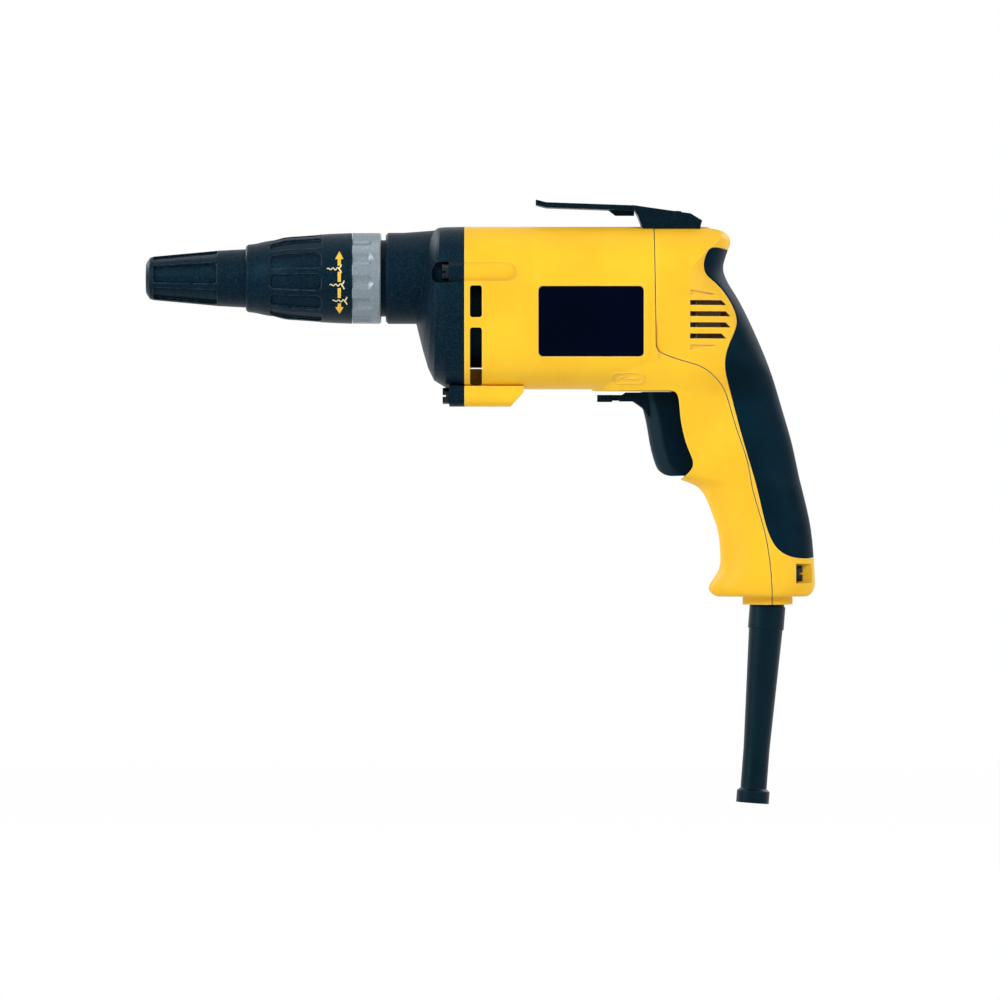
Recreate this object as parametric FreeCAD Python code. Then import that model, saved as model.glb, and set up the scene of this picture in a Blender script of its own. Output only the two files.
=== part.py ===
import FreeCAD, Part
import math
import os

# A corded drywall screwdriver, in millimetres. The origin is the centre of the
# nose's front face, +X runs back along the spindle and +Z is up.

# Lengths along the spindle, from the mouth of the nose backwards
nose_show = 45.6
collar_length = 48.6
ring_length = 13.0
ring_gap = 2.2
case_length = 35.8
body_length = 86.2
tail_reach = 73.6

# Heights and widths of the casing, from the spindle axis
body_top = 23.5
body_belly = 50.6
body_half_width = 32.0
handle_drop = 145.0
handle_half_width = 18.0
body_wall = 2.8
handle_wall = 3.8
body_bluntness_share = 3.0
handle_bluntness_share = 2.5
section_points = 24
arcs_per_turn = 4

# Clearances shared by all pieces
overrun = 1.0
seat_gap = 0.05
running_gap = 0.04
moving_gap = 0.3
seam_gap = 0.35
loose_gap = 0.2
end_gap = 0.4

# Nose tip
nose_front_radius = 6.5
nose_lip = 3.6
nose_lip_radius = 10.0
nose_waist_x = 33.0
nose_waist_radius = 12.7
nose_rear_radius = 13.4
mouth_radius = 5.0
mouth_length = 5.0
chamber_radius = 7.5
chamber_slope = 1.5
nose_bore_x = 38.0
nose_bore_slope = 2.5
nose_overlap = 24.4
nose_shoulder = 1.4
pocket_count = 6
pocket_angle = 46.0
pocket_turn = 19.0
pocket_depth = 1.5
pocket_front = 3.4
pocket_rear = 32.6
pocket_corner = 1.6

# Pegs on the nose and the helical groove in the collar that they ride in
thread_pitch = 6.0
nose_tail_radius = 12.0
peg_height = 1.15
peg_radius = 0.8
peg_x = 15.0
groove_lead = 11.0
groove_steps = 18

# Depth collar
collar_front_radius = 14.3
collar_lip = 1.8
collar_lip_radius = 15.5
collar_rear_radius = 20.7
collar_profile_shares = [(0.105, 0.09), (0.19, 0.27), (0.265, 0.385), (0.34, 0.575),
                         (0.48, 0.72), (0.72, 0.885)]
collar_hole_depth = 8.6
flute_count = 12
flute_angle = 22.0
flute_turn = 6.0
flute_depth = 1.15
flute_start = 11.0
flute_end = 34.7
flute_corner = 2.4
flute_steps = 6

# Detent ring and guide sleeve
hub_length = 14.6
hub_radius = 16.05
ring_flute_count = 12
ring_flute_radius = 5.2
ring_flute_depth = 1.3
ring_flute_length = 7.6
ring_flute_slope = 2.0
ring_chamfer = 0.6
sleeve_bore = 8.4
sleeve_radius = 9.9
sleeve_front_gap = 0.1
key_width = 3.0
key_height = 0.8
key_length = 22.0

# Gear case
barrel_radius = 20.8
barrel_chamfer = 1.1
neck_radius = 17.45
neck_length = 11.0
barrel_back = 17.0
bulb_lean_share = 0.163
bulb_step = 0.55
bulb_shares = [(0.575, 0.83, 0.965, 0.64, 2.5, 0.12), (0.62, 0.9, 0.976, 0.81, 2.65, 0.073),
               (0.665, 0.95, 0.985, 0.92, 2.8, 0.04), (0.76, 0.98, 0.993, 0.985, 2.9, 0.0)]
ridge_share = 0.975
case_wall = 3.0
groove_x = 3.8
groove_width = 2.6
o_ring_wire = 0.85
o_ring_sink = 1.6
bush_bore_radius = 9.6
plate_half_width = 24.0

# Gears
gear_module = 0.6
pinion_teeth = 9
gear_teeth = 42
pressure_angle = 25.0
profile_shift_share = 0.25
root_share = 1.25
backlash = 0.12
gear_width = 7.5
pinion_overlap = 1.0
flank_points = 5

# Spindle line
bit_recess = 6.0
bit_length = 25.0
bit_point = 7.0
bit_flat = 6.35
bit_point_radius = 1.1
bit_neck_radius = 3.0
bit_slot = 1.3
bit_grip = 14.0
magnet_length = 3.0
magnet_radius = 2.8
holder_radius = 5.25
holder_sleeve = 33.0
shank_length = 26.0
shank_gap = 4.0
clip_inset = 3.0
clip_width = 1.2
clip_depth = 0.6
spindle_radius = 7.0
seal_length = 2.0
bush_length = 11.2
bearing_length = 5.6
bearing_radius = 12.0
circlip_width = 1.2
circlip_height = 1.3
circlip_sink = 0.4
flange_length = 2.7
flange_radius = 11.5
jaw_height = 3.0
jaw_root_radius = 6.6
jaw_count = 3
jaw_angle = 52.0
jaw_gap = 1.0
clutch_travel = 3.5
pin_radius = 4.0
pin_seat = 6.0
pin_reach = 8.0
clutch_coil_radius = 5.35
clutch_wire = 0.5
clutch_turns = 2.5
washer_thickness = 0.8
washer_radius = 8.0

# Motor
plate_thickness = 7.4
front_bearing_radius = 9.5
front_bearing_length = 6.0
shaft_radius = 4.0
shaft_end_radius = 3.5
pinion_shaft_gap = 1.0
armature_radius = 17.0
air_gap = 0.5
field_clearance = 1.2
field_ring = 4.0
field_window_share = 0.72
coil_overhang = 6.5
slot_count = 12
slot_width = 2.6
slot_depth = 6.0
winding_radius = 14.5
commutator_length = 12.0
commutator_radius = 11.5
commutator_slit = 0.7
commutator_slit_depth = 0.8
fan_front_gap = 1.0
fan_length = 9.0
fan_disc = 1.5
fan_radius = 25.5
fan_hub_radius = 16.0
fan_cone_radius = 22.5
fan_blades = 11
fan_blade = 1.4
fan_clearance = 0.5
baffle_thickness = 1.5
baffle_gap = 0.8
baffle_hole = 20.0
bracket_thickness = 3.6
bracket_half_height = 14.0
bracket_hub_radius = 13.2
bracket_hub_length = 11.0
bracket_shelf = 2.6
bracket_shelf_half_width = 8.0
bracket_fin = 2.4
cup_wall = 1.6
rear_bearing_length = 6.0
brush_length = 10.0
brush_width = 6.0
brush_height = 8.0
brush_gap = 0.2
brush_wall = 1.0
brush_spring_wire = 0.35
brush_spring_turns = 4
brush_box_end = 27.0
brush_lug = 3.0
rail_width = 5.0

# Front bosses, screws and vents of the motor body
front_band_rise = 0.5
front_band = 26.0
front_band_slope = 5.0
boss_radius = 4.8
side_boss_inset = 2.5
side_boss_y = body_half_width - side_boss_inset
side_boss_z = 2.2
side_boss_length = 19.5
low_boss_y = 14.0
low_boss_drop = 3.0
low_boss_length = 21.0
low_boss_slope = 6.0
case_boss_length = 6.9
screw_radius = 2.0
screw_head_radius = 3.6
screw_head_length = 3.0
screw_bite = 17.0
screw_slot = 1.0
pocket_length = 9.4
front_vent_gap = 2.6
front_vent_width = 5.4
front_vent_levels_shares = [(-0.075, -0.36), (-0.452, -0.968)]
vent_corner = 1.2
vent_rib = 1.6

# Side labels, placed in shares of the motor body
label_front_share = 0.39
label_rear_share = 0.944
label_top_share = -0.08
label_bottom_share = -0.711
label_corner = 2.0
label_recess = 0.7
label_thickness = 0.55
label_gap = 0.15

# Tail of the casing: level, front, rear and half width of each flat section.
# Levels run from 1 at the top over 0 at the axis and -1 at the belly to -2 at the foot.
# Front and rear are shares of the tail behind the seam, or of the motor body before it.
tail_shares = [
    (-2.0, 0.395, 0.939, 0.86), (-1.985, 0.359, 0.978, 0.955), (-1.958, 0.341, 0.996, 1.0),
    (-1.921, 0.364, 1.0, 1.02), (-1.873, 0.402, 0.997, 1.01), (-1.788, 0.413, 0.99, 0.985),
    (-1.682, 0.397, 0.976, 0.955), (-1.576, 0.351, 0.95, 0.945), (-1.502, 0.307, 0.927, 0.945),
    (-1.47, 0.269, 0.917, 0.945), (-1.447, 0.205, 0.909, 0.95), (-1.423, 0.117, 0.902, 0.955),
    (-1.375, 0.008, 0.889, 0.96), (-1.258, -0.109, 0.856, 0.99), (-1.121, -0.225, 0.806, 1.07),
    (-1.015, -0.318, 0.766, 1.22)]
shoulder_shares = [
    (-0.85, -0.376, 0.727, 0.838), (-0.652, -0.41, 0.674, 0.92), (-0.395, -0.434, 0.595, 0.985),
    (-0.158, -0.445, 0.51, 1.03), (0.021, -0.45, 0.444, 1.03), (0.196, -0.45, 0.431, 1.03),
    (0.383, -0.45, 0.443, 1.03), (0.553, -0.45, 0.462, 1.03), (0.706, -0.45, 0.476, 1.03),
    (0.834, -0.45, 0.459, 1.03), (0.928, -0.45, 0.409, 1.03), (0.979, -0.45, 0.341, 1.03),
    (1.05, -0.45, 0.2, 1.03)]
crown_step = 0.08
body_lap = 1.6
low_tail_share = -0.55

# Seam between motor housing and handle cover
seam_shares = [(0.0, 1.5), (0.013, -0.609), (0.031, -0.66), (0.073, -0.694), (0.179, -0.747),
               (0.299, -0.806), (0.37, -0.883), (0.428, -0.988), (0.465, -1.068), (0.511, -1.189),
               (0.583, -1.362), (0.606, -1.461), (0.678, -1.664), (0.719, -1.839), (0.731, -1.96),
               (0.731, -2.2)]

# Rubber grip on the tail
grip_shares = [(0.62, 0.57), (0.4, 0.565), (0.345, 0.545), (0.317, 0.4), (0.307, 0.234), (0.319, 0.077),
               (0.369, -0.036), (0.455, -0.18), (0.5, -0.31), (0.511, -0.405), (0.481, -0.541),
               (0.443, -0.7), (0.44, -0.83), (0.462, -0.972), (0.542, -1.217), (0.654, -1.527),
               (0.719, -1.71), (0.762, -1.765), (0.837, -1.803), (0.932, -1.814), (1.2, -1.814)]
grip_thickness = 1.9
grip_gap = 0.2

# Trigger opening under the belly
opening_top_share = -1.008
opening_shares = [(0.095, -1.008), (0.137, -1.02), (0.155, -1.066), (0.164, -1.14), (0.183, -1.217),
                  (0.215, -1.294), (0.24, -1.372), (0.203, -1.412), (0.166, -1.437)]
opening_front_share = -0.4
opening_bottom_share = -1.475
floor_rear_share = 0.13

# Trigger
trigger_half_width = 11.5
trigger_travel = 7.0
trigger_fillet = 7.0
trigger_top_share = -1.013
trigger_front_shares = [(-0.075, -1.04), (-0.055, -1.1), (-0.039, -1.16), (-0.019, -1.266), (0.003, -1.343),
                        (0.022, -1.381), (0.06, -1.42)]
trigger_tip_share = -0.19
trigger_brow_shares = [(-0.03, -1.016), (-0.15, -1.016), (trigger_tip_share, -1.04), (-0.18, -1.058),
                       (-0.11, -1.058), (-0.06, -1.09), (-0.03, -1.132)]
trigger_brow_inset = 0.6
trigger_rear_share = 0.253
trigger_heel_share = -1.416
trigger_toe_round = 4.0
trigger_toe_share = 0.29
plunger_radius = 2.2
plunger_length = 15.0
trigger_spring_wire = 0.45
trigger_spring_radius = 3.2
trigger_spring_turns = 7
trigger_pocket = 4.0
trigger_pocket_radius = 4.4
trigger_axis_share = -1.21

# Switch and reversing lever
switch_front_share = 0.361
switch_length = 22.0
switch_half_width = 10.0
switch_top_share = -1.06
switch_bottom_share = -1.375
switch_spring_pocket = 12.0
shelf_thickness = 2.4
shelf_length = 10.0
lever_pivot = 5.0
lever_pin_radius = 2.0
lever_pin_length = 4.0
lever_hub_radius = 5.0
lever_thickness = 2.6
lever_half_width = 2.6
lever_tip_share = -0.298
lever_tip_length = 6.8
lever_tip_half_width = 4.6
lever_tip_height = 3.2
lever_rib_count = 4
lever_rib_share = 0.5
lever_rib_depth = 0.5
lever_swing = 7.0
lever_gap = 0.5

# Suppressor capacitor, on the shelf of the rear bearing bracket
capacitor_length = 10.6
capacitor_half_width = 7.5
capacitor_height = 19.0
capacitor_level_share = -0.56
capacitor_front_share = 0.266

# Rear vents, flutes and screw pockets of the handle cover
vent_front_share = 0.22
vent_rear_shares = [0.443, 0.47, 0.47, 0.443]
vent_level_shares = [(-0.206, -0.25), (-0.306, -0.35), (-0.405, -0.45), (-0.505, -0.55)]
vent_slant_share = 0.03
upper_flute_shares = [(vent_front_share, -0.112), (0.38, -0.152), (vent_front_share, -0.162)]
lower_flute_shares = [(vent_front_share, -0.604), (0.38, -0.61), (vent_front_share, -0.655)]
cover_flute_depth = 0.8
cover_pocket_front_share = 0.878
cover_pocket_top_share = -1.842
cover_pocket_bottom_share = -1.936
cover_screw_y = 12.2
cover_screw_level_share = -1.889
cover_screw_bite = 16.0
cover_boss_radius = 4.2

# Belt hook
hook_tip_share = -0.623
hook_kink_share = -0.568
hook_end_share = 0.298
hook_root_share = -0.114
hook_strip = 2.4
hook_half_width = 10.5
hook_tip_rise = 12.2
hook_kink_rise = 9.8
hook_back_rise = 8.4
hook_saddle_half_width = 15.0
hook_saddle_wall = 2.2
hook_heel = 2.6
hook_web = 2.2
hook_web_length = 12.0
hook_web_half = 1.4
hook_skirt = 2.4
hook_screw_share = 0.11
hook_post_radius = 4.6
hook_screw_bite = 9.0
hook_boss_radius = 4.4

# Cord boot and clamp at the foot of the handle
foot_ring_share = 0.7065
foot_ring_radius = 11.4
foot_ring_drop = 3.7
boot_hole_radius = 8.0
boot_flange_radius = 9.9
boot_flange = 3.0
boot_length = 90.0
boot_tilt = 4.4
boot_top_radius = 8.2
boot_waist_share = 0.72
boot_waist_radius = 6.0
boot_end_radius = 7.5
boot_end_collar = 5.4
boot_end_slope = 1.2
boot_bore = 4.0
boot_ring_width = 1.2
boot_ring_depth = 0.5
boot_ring_drop = 10.5
clamp_post_y = 9.4
clamp_post_radius = 3.2
clamp_level_share = -1.76
clamp_half_height = 4.0
clamp_thickness = 3.5
clamp_gap = 0.4
post_root_share = 0.333
clamp_screw_radius = 1.5
clamp_head_radius = 2.7
clamp_head_length = 1.8
clamp_screw_bite = 9.0

# Stations worked out from the sizes above
ring_x = nose_show + collar_length
case_x = ring_x + ring_length + ring_gap
body_x = case_x + case_length
seam_x = body_x + body_length
body_centre = (body_top - body_belly) / 2
body_half_height = (body_top + body_belly) / 2
motor_z = -gear_module * (pinion_teeth + gear_teeth) / 2
gear_tip_radius = gear_module * (gear_teeth / 2 + 1 - profile_shift_share)
recess_x = body_x - plate_thickness - 2 * seat_gap
gear_x = recess_x - washer_thickness - gear_width - 2 * running_gap
flange_back = gear_x - 2 * jaw_height - jaw_gap
bearing_x = flange_back - flange_length - bearing_length - 2 * running_gap
neck_x = case_x - neck_length
holder_x = bit_recess + bit_length - bit_grip
spindle_x = holder_x + holder_sleeve + shank_gap
bracket_x = seam_x - bracket_thickness - end_gap
commutator_x = bracket_x - overrun - commutator_length
fan_x = body_x + fan_front_gap
baffle_x = fan_x + fan_length + baffle_gap
field_x = baffle_x + baffle_thickness + baffle_gap + coil_overhang
field_length = commutator_x - coil_overhang - overrun - field_x
field_radius = body_half_width - body_wall - field_clearance
front_bearing_x = body_x - front_bearing_length
foot_x = seam_x + foot_ring_share * tail_reach
post_root_x = foot_x - post_root_share * tail_reach

V = FreeCAD.Vector
AXIS_X = V(1, 0, 0)
AXIS_Y = V(0, 1, 0)
AXIS_Z = V(0, 0, 1)


# Basic shapes

def rod(x0, x1, radius, y=0, z=0):
    return Part.makeCylinder(radius, x1 - x0, V(x0, y, z), AXIS_X)


def tube(x0, x1, inner, outer, y=0, z=0):
    hollow = rod(x0 - overrun, x1 + overrun, inner, y, z)
    return rod(x0, x1, outer, y, z).cut(hollow)


def post(x, y, z0, z1, radius):
    return Part.makeCylinder(radius, z1 - z0, V(x, y, z0), AXIS_Z)


def block(x0, x1, y0, y1, z0, z1):
    return Part.makeBox(x1 - x0, y1 - y0, z1 - z0, V(x0, y0, z0))


def hexagon(x0, x1, flat):
    corner = flat / math.sqrt(3)
    points = [V(x0, corner * math.cos(math.radians(a)), corner * math.sin(math.radians(a)))
              for a in range(0, 420, 60)]
    return Part.Face(Part.makePolygon(points)).extrude(V(x1 - x0, 0, 0))


def turned(points):
    """A solid of revolution about the spindle axis from (x, radius) corners."""
    corners = [V(x, 0, r) for x, r in points]
    face = Part.Face(Part.makePolygon(corners + corners[:1]))
    return face.revolve(V(0, 0, 0), AXIS_X, 360)


def curve(points):
    spline = Part.BSplineCurve()
    spline.interpolate(points)
    return spline.toShape()


def side_prism(edges, half):
    """Edges of a closed outline in the XZ plane, drawn out to both sides."""
    face = Part.Face(Part.Wire(edges))
    face.translate(V(0, -half, 0))
    return face.extrude(V(0, 2 * half, 0))


def side_panel(x0, x1, z0, z1, corner, half):
    """A rectangle with round corners in the XZ plane, drawn out to both sides."""
    panel = block(x0, x1, -half, half, z0, z1)
    upright = [e for e in panel.Edges if abs(e.tangentAt(e.FirstParameter).y) > 0.5]
    return panel.makeFillet(corner, upright)


def polygon_edges(points):
    loop = list(points) + [points[0]]
    return [Part.makeLine(a, b) for a, b in zip(loop, loop[1:])]


def fuse_all(shapes):
    return shapes[0].multiFuse(list(shapes[1:]))


def ring_copies(shape, count, turn=0, axis_z=0):
    copies = []
    for i in range(count):
        one = shape.copy()
        one.rotate(V(0, 0, axis_z), AXIS_X, turn + i * 360 / count)
        copies.append(one)
    return copies


def coil(x0, x1, mean_radius, wire, turns):
    """A helical spring along X, wound from short arcs."""
    pitch = (x1 - x0 - 2 * wire) / turns

    def at(turn):
        angle = 2 * math.pi * turn
        return V(x0 + wire + pitch * turn, mean_radius * math.cos(angle), mean_radius * math.sin(angle))

    arcs = []
    for i in range(int(turns * arcs_per_turn)):
        stations = [at((i + step) / arcs_per_turn) for step in (0, 0.5, 1)]
        arcs.append(Part.Arc(*stations).toShape())
    start = Part.Wire(Part.makeCircle(wire, at(0), arcs[0].tangentAt(arcs[0].FirstParameter)))
    return Part.Wire(arcs).makePipeShell([start], True, False)


def along(share):
    return seam_x + share * (tail_reach if share > 0 else body_length)


def level(share):
    if share > 0:
        return share * body_top
    if share > -1:
        return share * body_belly
    return -body_belly + (share + 1) * (handle_drop - body_belly)


def tail_points(shares):
    return [V(along(s), 0, level(k)) for s, k in shares]


def shifted(points, distance):
    """Points of an open outline moved sideways, to the left of its direction."""
    moved = []
    for i, p in enumerate(points):
        ahead = points[min(i + 1, len(points) - 1)]
        behind = points[max(i - 1, 0)]
        run = (ahead - behind).normalize()
        moved.append(p + V(-run.z, 0, run.x) * distance)
    return moved


# Casing volumes

def blunt(cosine, sine, bluntness):
    power = 2 / bluntness
    return (math.copysign(abs(cosine) ** power, cosine), math.copysign(abs(sine) ** power, sine))


def blunt_circle(bluntness, start=0, stop=360, closed=True):
    last = section_points if closed else section_points + 1
    angles = [math.radians(start + (stop - start) * i / section_points) for i in range(last)]
    return [blunt(math.cos(a), math.sin(a), bluntness) for a in angles]


def closed_curve(points):
    """A smooth loop whose points are evenly spread, so that lofted loops match."""
    spline = Part.BSplineCurve()
    steps = [i / len(points) for i in range(len(points) + 1)]
    spline.interpolate(Points=points, PeriodicFlag=True, Parameters=steps)
    return Part.Wire(spline.toShape())


def cross_section(x, half_width, top, belly, bluntness, lean=0):
    """A blunt oval across the spindle, leaning forward below the axis."""
    middle = (top - belly) / 2
    half = (top + belly) / 2
    points = [V(x + lean * (middle + half * s), half_width * c, middle + half * s)
              for c, s in blunt_circle(bluntness)]
    return closed_curve(points)


def body_section(x, inset, rise=0):
    return cross_section(x, body_half_width + rise - inset, body_top - inset, body_belly - inset,
                         body_bluntness_share)


def body(inset, x0, x1):
    """The motor body: a blunt prism with a slightly wider band in front."""
    band = body_x + front_band
    stations = [(x0, front_band_rise), (band, front_band_rise), (band + front_band_slope, 0), (x1, 0)]
    return Part.makeLoft([body_section(x, inset, rise) for x, rise in stations], True, True)


def body_slice(inset, x0, x1):
    face = Part.Face(body_section(x0, inset, front_band_rise if x1 < body_x + front_band else 0))
    return face.extrude(V(x1 - x0, 0, 0))


def crown(inset):
    """The body's top and sides carried on backwards, open below."""
    width = body_half_width - crown_step - inset
    height = body_half_height - inset
    x0 = body_x
    arch = Part.BSplineCurve()
    points = [V(x0, width * c, body_centre + height * s)
              for c, s in blunt_circle(body_bluntness_share, 0, 180, False)]
    arch.interpolate(Points=points, InitialTangent=AXIS_Z, FinalTangent=-AXIS_Z)
    low = -2 * handle_drop
    corners = [V(x0, -width, body_centre), V(x0, -width, low), V(x0, width, low), V(x0, width, body_centre)]
    sides = [Part.makeLine(a, b) for a, b in zip(corners, corners[1:])]
    return Part.Face(Part.Wire([arch.toShape()] + sides)).extrude(V(2 * body_length + tail_reach, 0, 0))


def tail_rows():
    rows = [(level(k), along(f), along(r), w * handle_half_width, handle_bluntness_share)
            for k, f, r, w in tail_shares]
    rows += [(level(k), along(f), along(r), w * body_half_width, body_bluntness_share)
             for k, f, r, w in shoulder_shares]
    return rows


def front_at(rows, z):
    """The front of the tail at a height, between the rows above and below it."""
    for low, high in zip(rows, rows[1:]):
        if low[0] <= z <= high[0]:
            part = (z - low[0]) / (high[0] - low[0])
            return low[1] + part * (high[1] - low[1])
    return rows[0][1] if z < rows[0][0] else rows[-1][1]


def tail(inset):
    """Handle, shoulder and horn: flat blunt ovals from the foot to the top."""
    rows = tail_rows()
    foot = rows[0][0] + inset
    kept = [row for row in rows if row[0] > foot + inset / 2]
    if inset:
        kept = [(foot,) + kept[0][1:]] + kept
    else:
        kept = rows
    sections = []
    for z, front, rear, half, bluntness in kept:
        if inset:
            front = max(front, front_at(rows, z - inset))
        middle = (front + rear) / 2
        reach = (rear - front) / 2 - inset
        points = [V(middle + reach * c, (half - inset) * s, z) for c, s in blunt_circle(bluntness)]
        sections.append(closed_curve(points))
    return Part.makeLoft(sections, True, False).common(crown(inset))


def cover_region(shift):
    seam = shifted(tail_points(seam_shares), -shift)
    far = V(seam_x + 2 * tail_reach, 0, seam[0].z)
    low = V(far.x, 0, seam[-1].z)
    corners = [seam[-1], low, far, seam[0], seam[1]]
    edges = [curve(seam[1:])] + [Part.makeLine(a, b) for a, b in zip(corners, corners[1:])]
    return side_prism(edges, 2 * body_half_width)


def grip_region(grow):
    edge = shifted(tail_points(grip_shares), -grow)
    return side_prism([curve(edge), Part.makeLine(edge[-1], edge[0])], 2 * body_half_width)


def trigger_opening():
    rim = tail_points(opening_shares)
    start = V(along(opening_front_share), 0, level(opening_top_share))
    low = V(rim[-1].x, 0, level(opening_bottom_share))
    far = V(start.x, 0, low.z)
    edges = [Part.makeLine(start, rim[0]), curve(rim), Part.makeLine(rim[-1], low),
             Part.makeLine(low, far), Part.makeLine(far, start)]
    return side_prism(edges, body_half_width)


# Nose

def nose_outline(depth=0):
    return [(nose_lip, nose_lip_radius - depth), (nose_waist_x, nose_waist_radius - depth),
            (nose_show + nose_shoulder, nose_rear_radius - depth)]


def wedge(front_x, rear_x, front_radius, rear_radius, angle, corner, front_corner):
    """A tapered pad drawn out upwards from the axis, with round corners."""
    half = math.sin(math.radians(angle / 2))
    corners = [V(front_x, -front_radius * half, 0), V(rear_x, -rear_radius * half, 0),
               V(rear_x, rear_radius * half, 0), V(front_x, front_radius * half, 0)]
    pad = Part.Face(Part.makePolygon(corners + corners[:1])).extrude(V(0, 0, 2 * rear_radius))
    for x, radius in ((rear_x, corner), (front_x, front_corner)):
        if radius:
            pad = pad.makeFillet(radius, upright_edges(pad, x))
    return pad


def upright_edges(pad, x):
    return [e for e in pad.Edges if abs(e.tangentAt(e.FirstParameter).z) > 0.5
            and abs(e.CenterOfMass.x - x) < seat_gap]


def groove_cutters():
    """Short blocks, wound round the axis, that cut the collar's helical groove."""
    half = peg_radius + moving_gap
    outer = nose_tail_radius + peg_height + moving_gap
    lead = math.degrees(math.atan(thread_pitch / (2 * math.pi * nose_tail_radius)))
    reach = outer * math.tan(math.pi / groove_steps)
    run = ring_x - hub_length - nose_show - groove_lead
    cutters = []
    for i in range(int(run / thread_pitch * groove_steps)):
        cutter = block(-half, half, -reach, reach, -outer, overrun - nose_tail_radius)
        cutter.rotate(V(0, 0, 0), AXIS_Z, -lead)
        cutter.translate(V(nose_show + groove_lead + i * thread_pitch / groove_steps, 0, 0))
        cutter.rotate(V(0, 0, 0), AXIS_X, i * 360 / groove_steps)
        cutters.append(cutter)
    return cutters


def nose_pegs():
    """Two pegs, half a turn and half a pitch apart, on the line of the groove."""
    turn = (peg_x - groove_lead) / thread_pitch * 360
    pegs = []
    for half_turn in (0, 1):
        x = nose_show + peg_x + half_turn * thread_pitch / 2
        foot = nose_tail_radius - overrun
        peg = Part.makeCylinder(peg_radius, overrun + peg_height, V(x, 0, -foot), -AXIS_Z)
        peg.rotate(V(0, 0, 0), AXIS_X, turn + 180 * half_turn)
        pegs.append(peg)
    return pegs


def nose_tip():
    rear = nose_show + nose_overlap
    shoulder = nose_show + nose_shoulder
    bore = sleeve_radius + moving_gap / 2
    half_lip = (nose_lip_radius - nose_front_radius) / 3
    front = [(0, mouth_radius), (0, nose_front_radius), (half_lip / 2, nose_lip_radius - 2 * half_lip),
             (nose_lip / 2, nose_lip_radius - half_lip / 2)]
    back = [(shoulder, nose_tail_radius), (rear, nose_tail_radius), (rear, bore), (nose_bore_x, bore),
            (nose_bore_x - nose_bore_slope, chamber_radius), (mouth_length + chamber_slope, chamber_radius),
            (mouth_length, mouth_radius)]
    nose = turned(front + nose_outline() + back)
    lip_floor = [(0, 0), (0, nose_lip_radius - pocket_depth)]
    floor = turned(lip_floor + nose_outline(pocket_depth) + [(shoulder, 0)])
    pad = wedge(pocket_front, pocket_rear, nose_lip_radius, nose_waist_radius, pocket_angle, pocket_corner,
                pocket_corner / 2)
    pads = [p.cut(floor) for p in ring_copies(pad, pocket_count, pocket_turn)]
    nose = nose.cut(pads)
    nose = fuse_all([nose] + nose_pegs())
    key = block(nose_bore_x - overrun, rear + overrun, -key_width / 2 - moving_gap / 2,
                key_width / 2 + moving_gap / 2, 0, sleeve_radius + key_height + moving_gap)
    return nose.cut(ring_copies(key, 2))


def collar_outline():
    rise = collar_rear_radius - collar_lip_radius
    points = [V(nose_show + collar_lip, 0, collar_lip_radius)]
    points += [V(nose_show + s * collar_length, 0, collar_lip_radius + k * rise)
               for s, k in collar_profile_shares]
    points += [V(ring_x - moving_gap, 0, collar_rear_radius)]
    return points


def depth_collar():
    outline = collar_outline()
    rear = outline[-1].x
    lip = V(nose_show, 0, collar_front_radius)
    middle = V(nose_show + collar_lip / 3, 0, (2 * collar_lip_radius + collar_front_radius) / 3)
    hole = nose_rear_radius + moving_gap
    tail_bore = nose_tail_radius + moving_gap
    land = nose_show + collar_hole_depth
    hub = hub_radius + running_gap + seat_gap
    inside = [(rear, hub), (ring_x - hub_length - overrun, hub), (ring_x - hub_length - 2 * overrun, tail_bore),
              (land + overrun, tail_bore), (land, hole), (nose_show, hole)]
    inner = [V(x, 0, r) for x, r in inside]
    edges = [Part.Arc(lip, middle, outline[0]).toShape(), curve(outline)]
    chain = [outline[-1]] + inner + [lip]
    edges += [Part.makeLine(a, b) for a, b in zip(chain, chain[1:])]
    collar = Part.Face(Part.Wire(edges)).revolve(V(0, 0, 0), AXIS_X, 360)
    start = nose_show + flute_start
    stop = nose_show + flute_end
    stations = [start + (stop - start) * k / flute_steps for k in range(flute_steps + 1)]
    stations = [start - overrun] + stations + [stop + overrun]
    floor = turned([(stations[0], 0)] + [(x, radius_at(outline, x) - flute_depth) for x in stations]
                   + [(stations[-1], 0)])
    pad = wedge(start, stop, radius_at(outline, start), collar_rear_radius, flute_angle, flute_corner,
                flute_corner)
    collar = collar.cut([p.cut(floor) for p in ring_copies(pad, flute_count, flute_turn)])
    return collar.cut(groove_cutters())


def radius_at(outline, x):
    for a, b in zip(outline, outline[1:]):
        if a.x <= x <= b.x:
            return a.z + (b.z - a.z) * (x - a.x) / (b.x - a.x)
    return outline[-1].z


def detent_ring():
    front = ring_x - hub_length
    socket_x = neck_x - seat_gap
    socket = neck_radius + moving_gap
    rear = ring_x + ring_length
    ring = turned([(front, sleeve_radius), (front, hub_radius), (ring_x, hub_radius),
                   (ring_x, collar_rear_radius), (rear - ring_chamfer, collar_rear_radius),
                   (rear, collar_rear_radius - ring_chamfer),
                   (rear, socket), (socket_x, socket), (socket_x, sleeve_radius)])
    centre = collar_rear_radius + ring_flute_radius - ring_flute_depth
    flute = rod(ring_x - overrun, ring_x + ring_flute_length, ring_flute_radius, 0, centre)
    slope = Part.makeCone(ring_flute_radius, ring_flute_radius - 2 * ring_flute_depth, 2 * ring_flute_slope,
                          V(ring_x + ring_flute_length, 0, centre), AXIS_X)
    return ring.cut(ring_copies(flute.fuse(slope), ring_flute_count, flute_turn))


def guide_sleeve():
    front = nose_show + sleeve_front_gap
    sleeve = tube(front, neck_x - 2 * seat_gap, sleeve_bore, sleeve_radius)
    key = block(front, front + key_length, -key_width / 2, key_width / 2, sleeve_radius - key_height,
                sleeve_radius + key_height)
    return fuse_all([sleeve] + ring_copies(key, 2))


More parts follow.
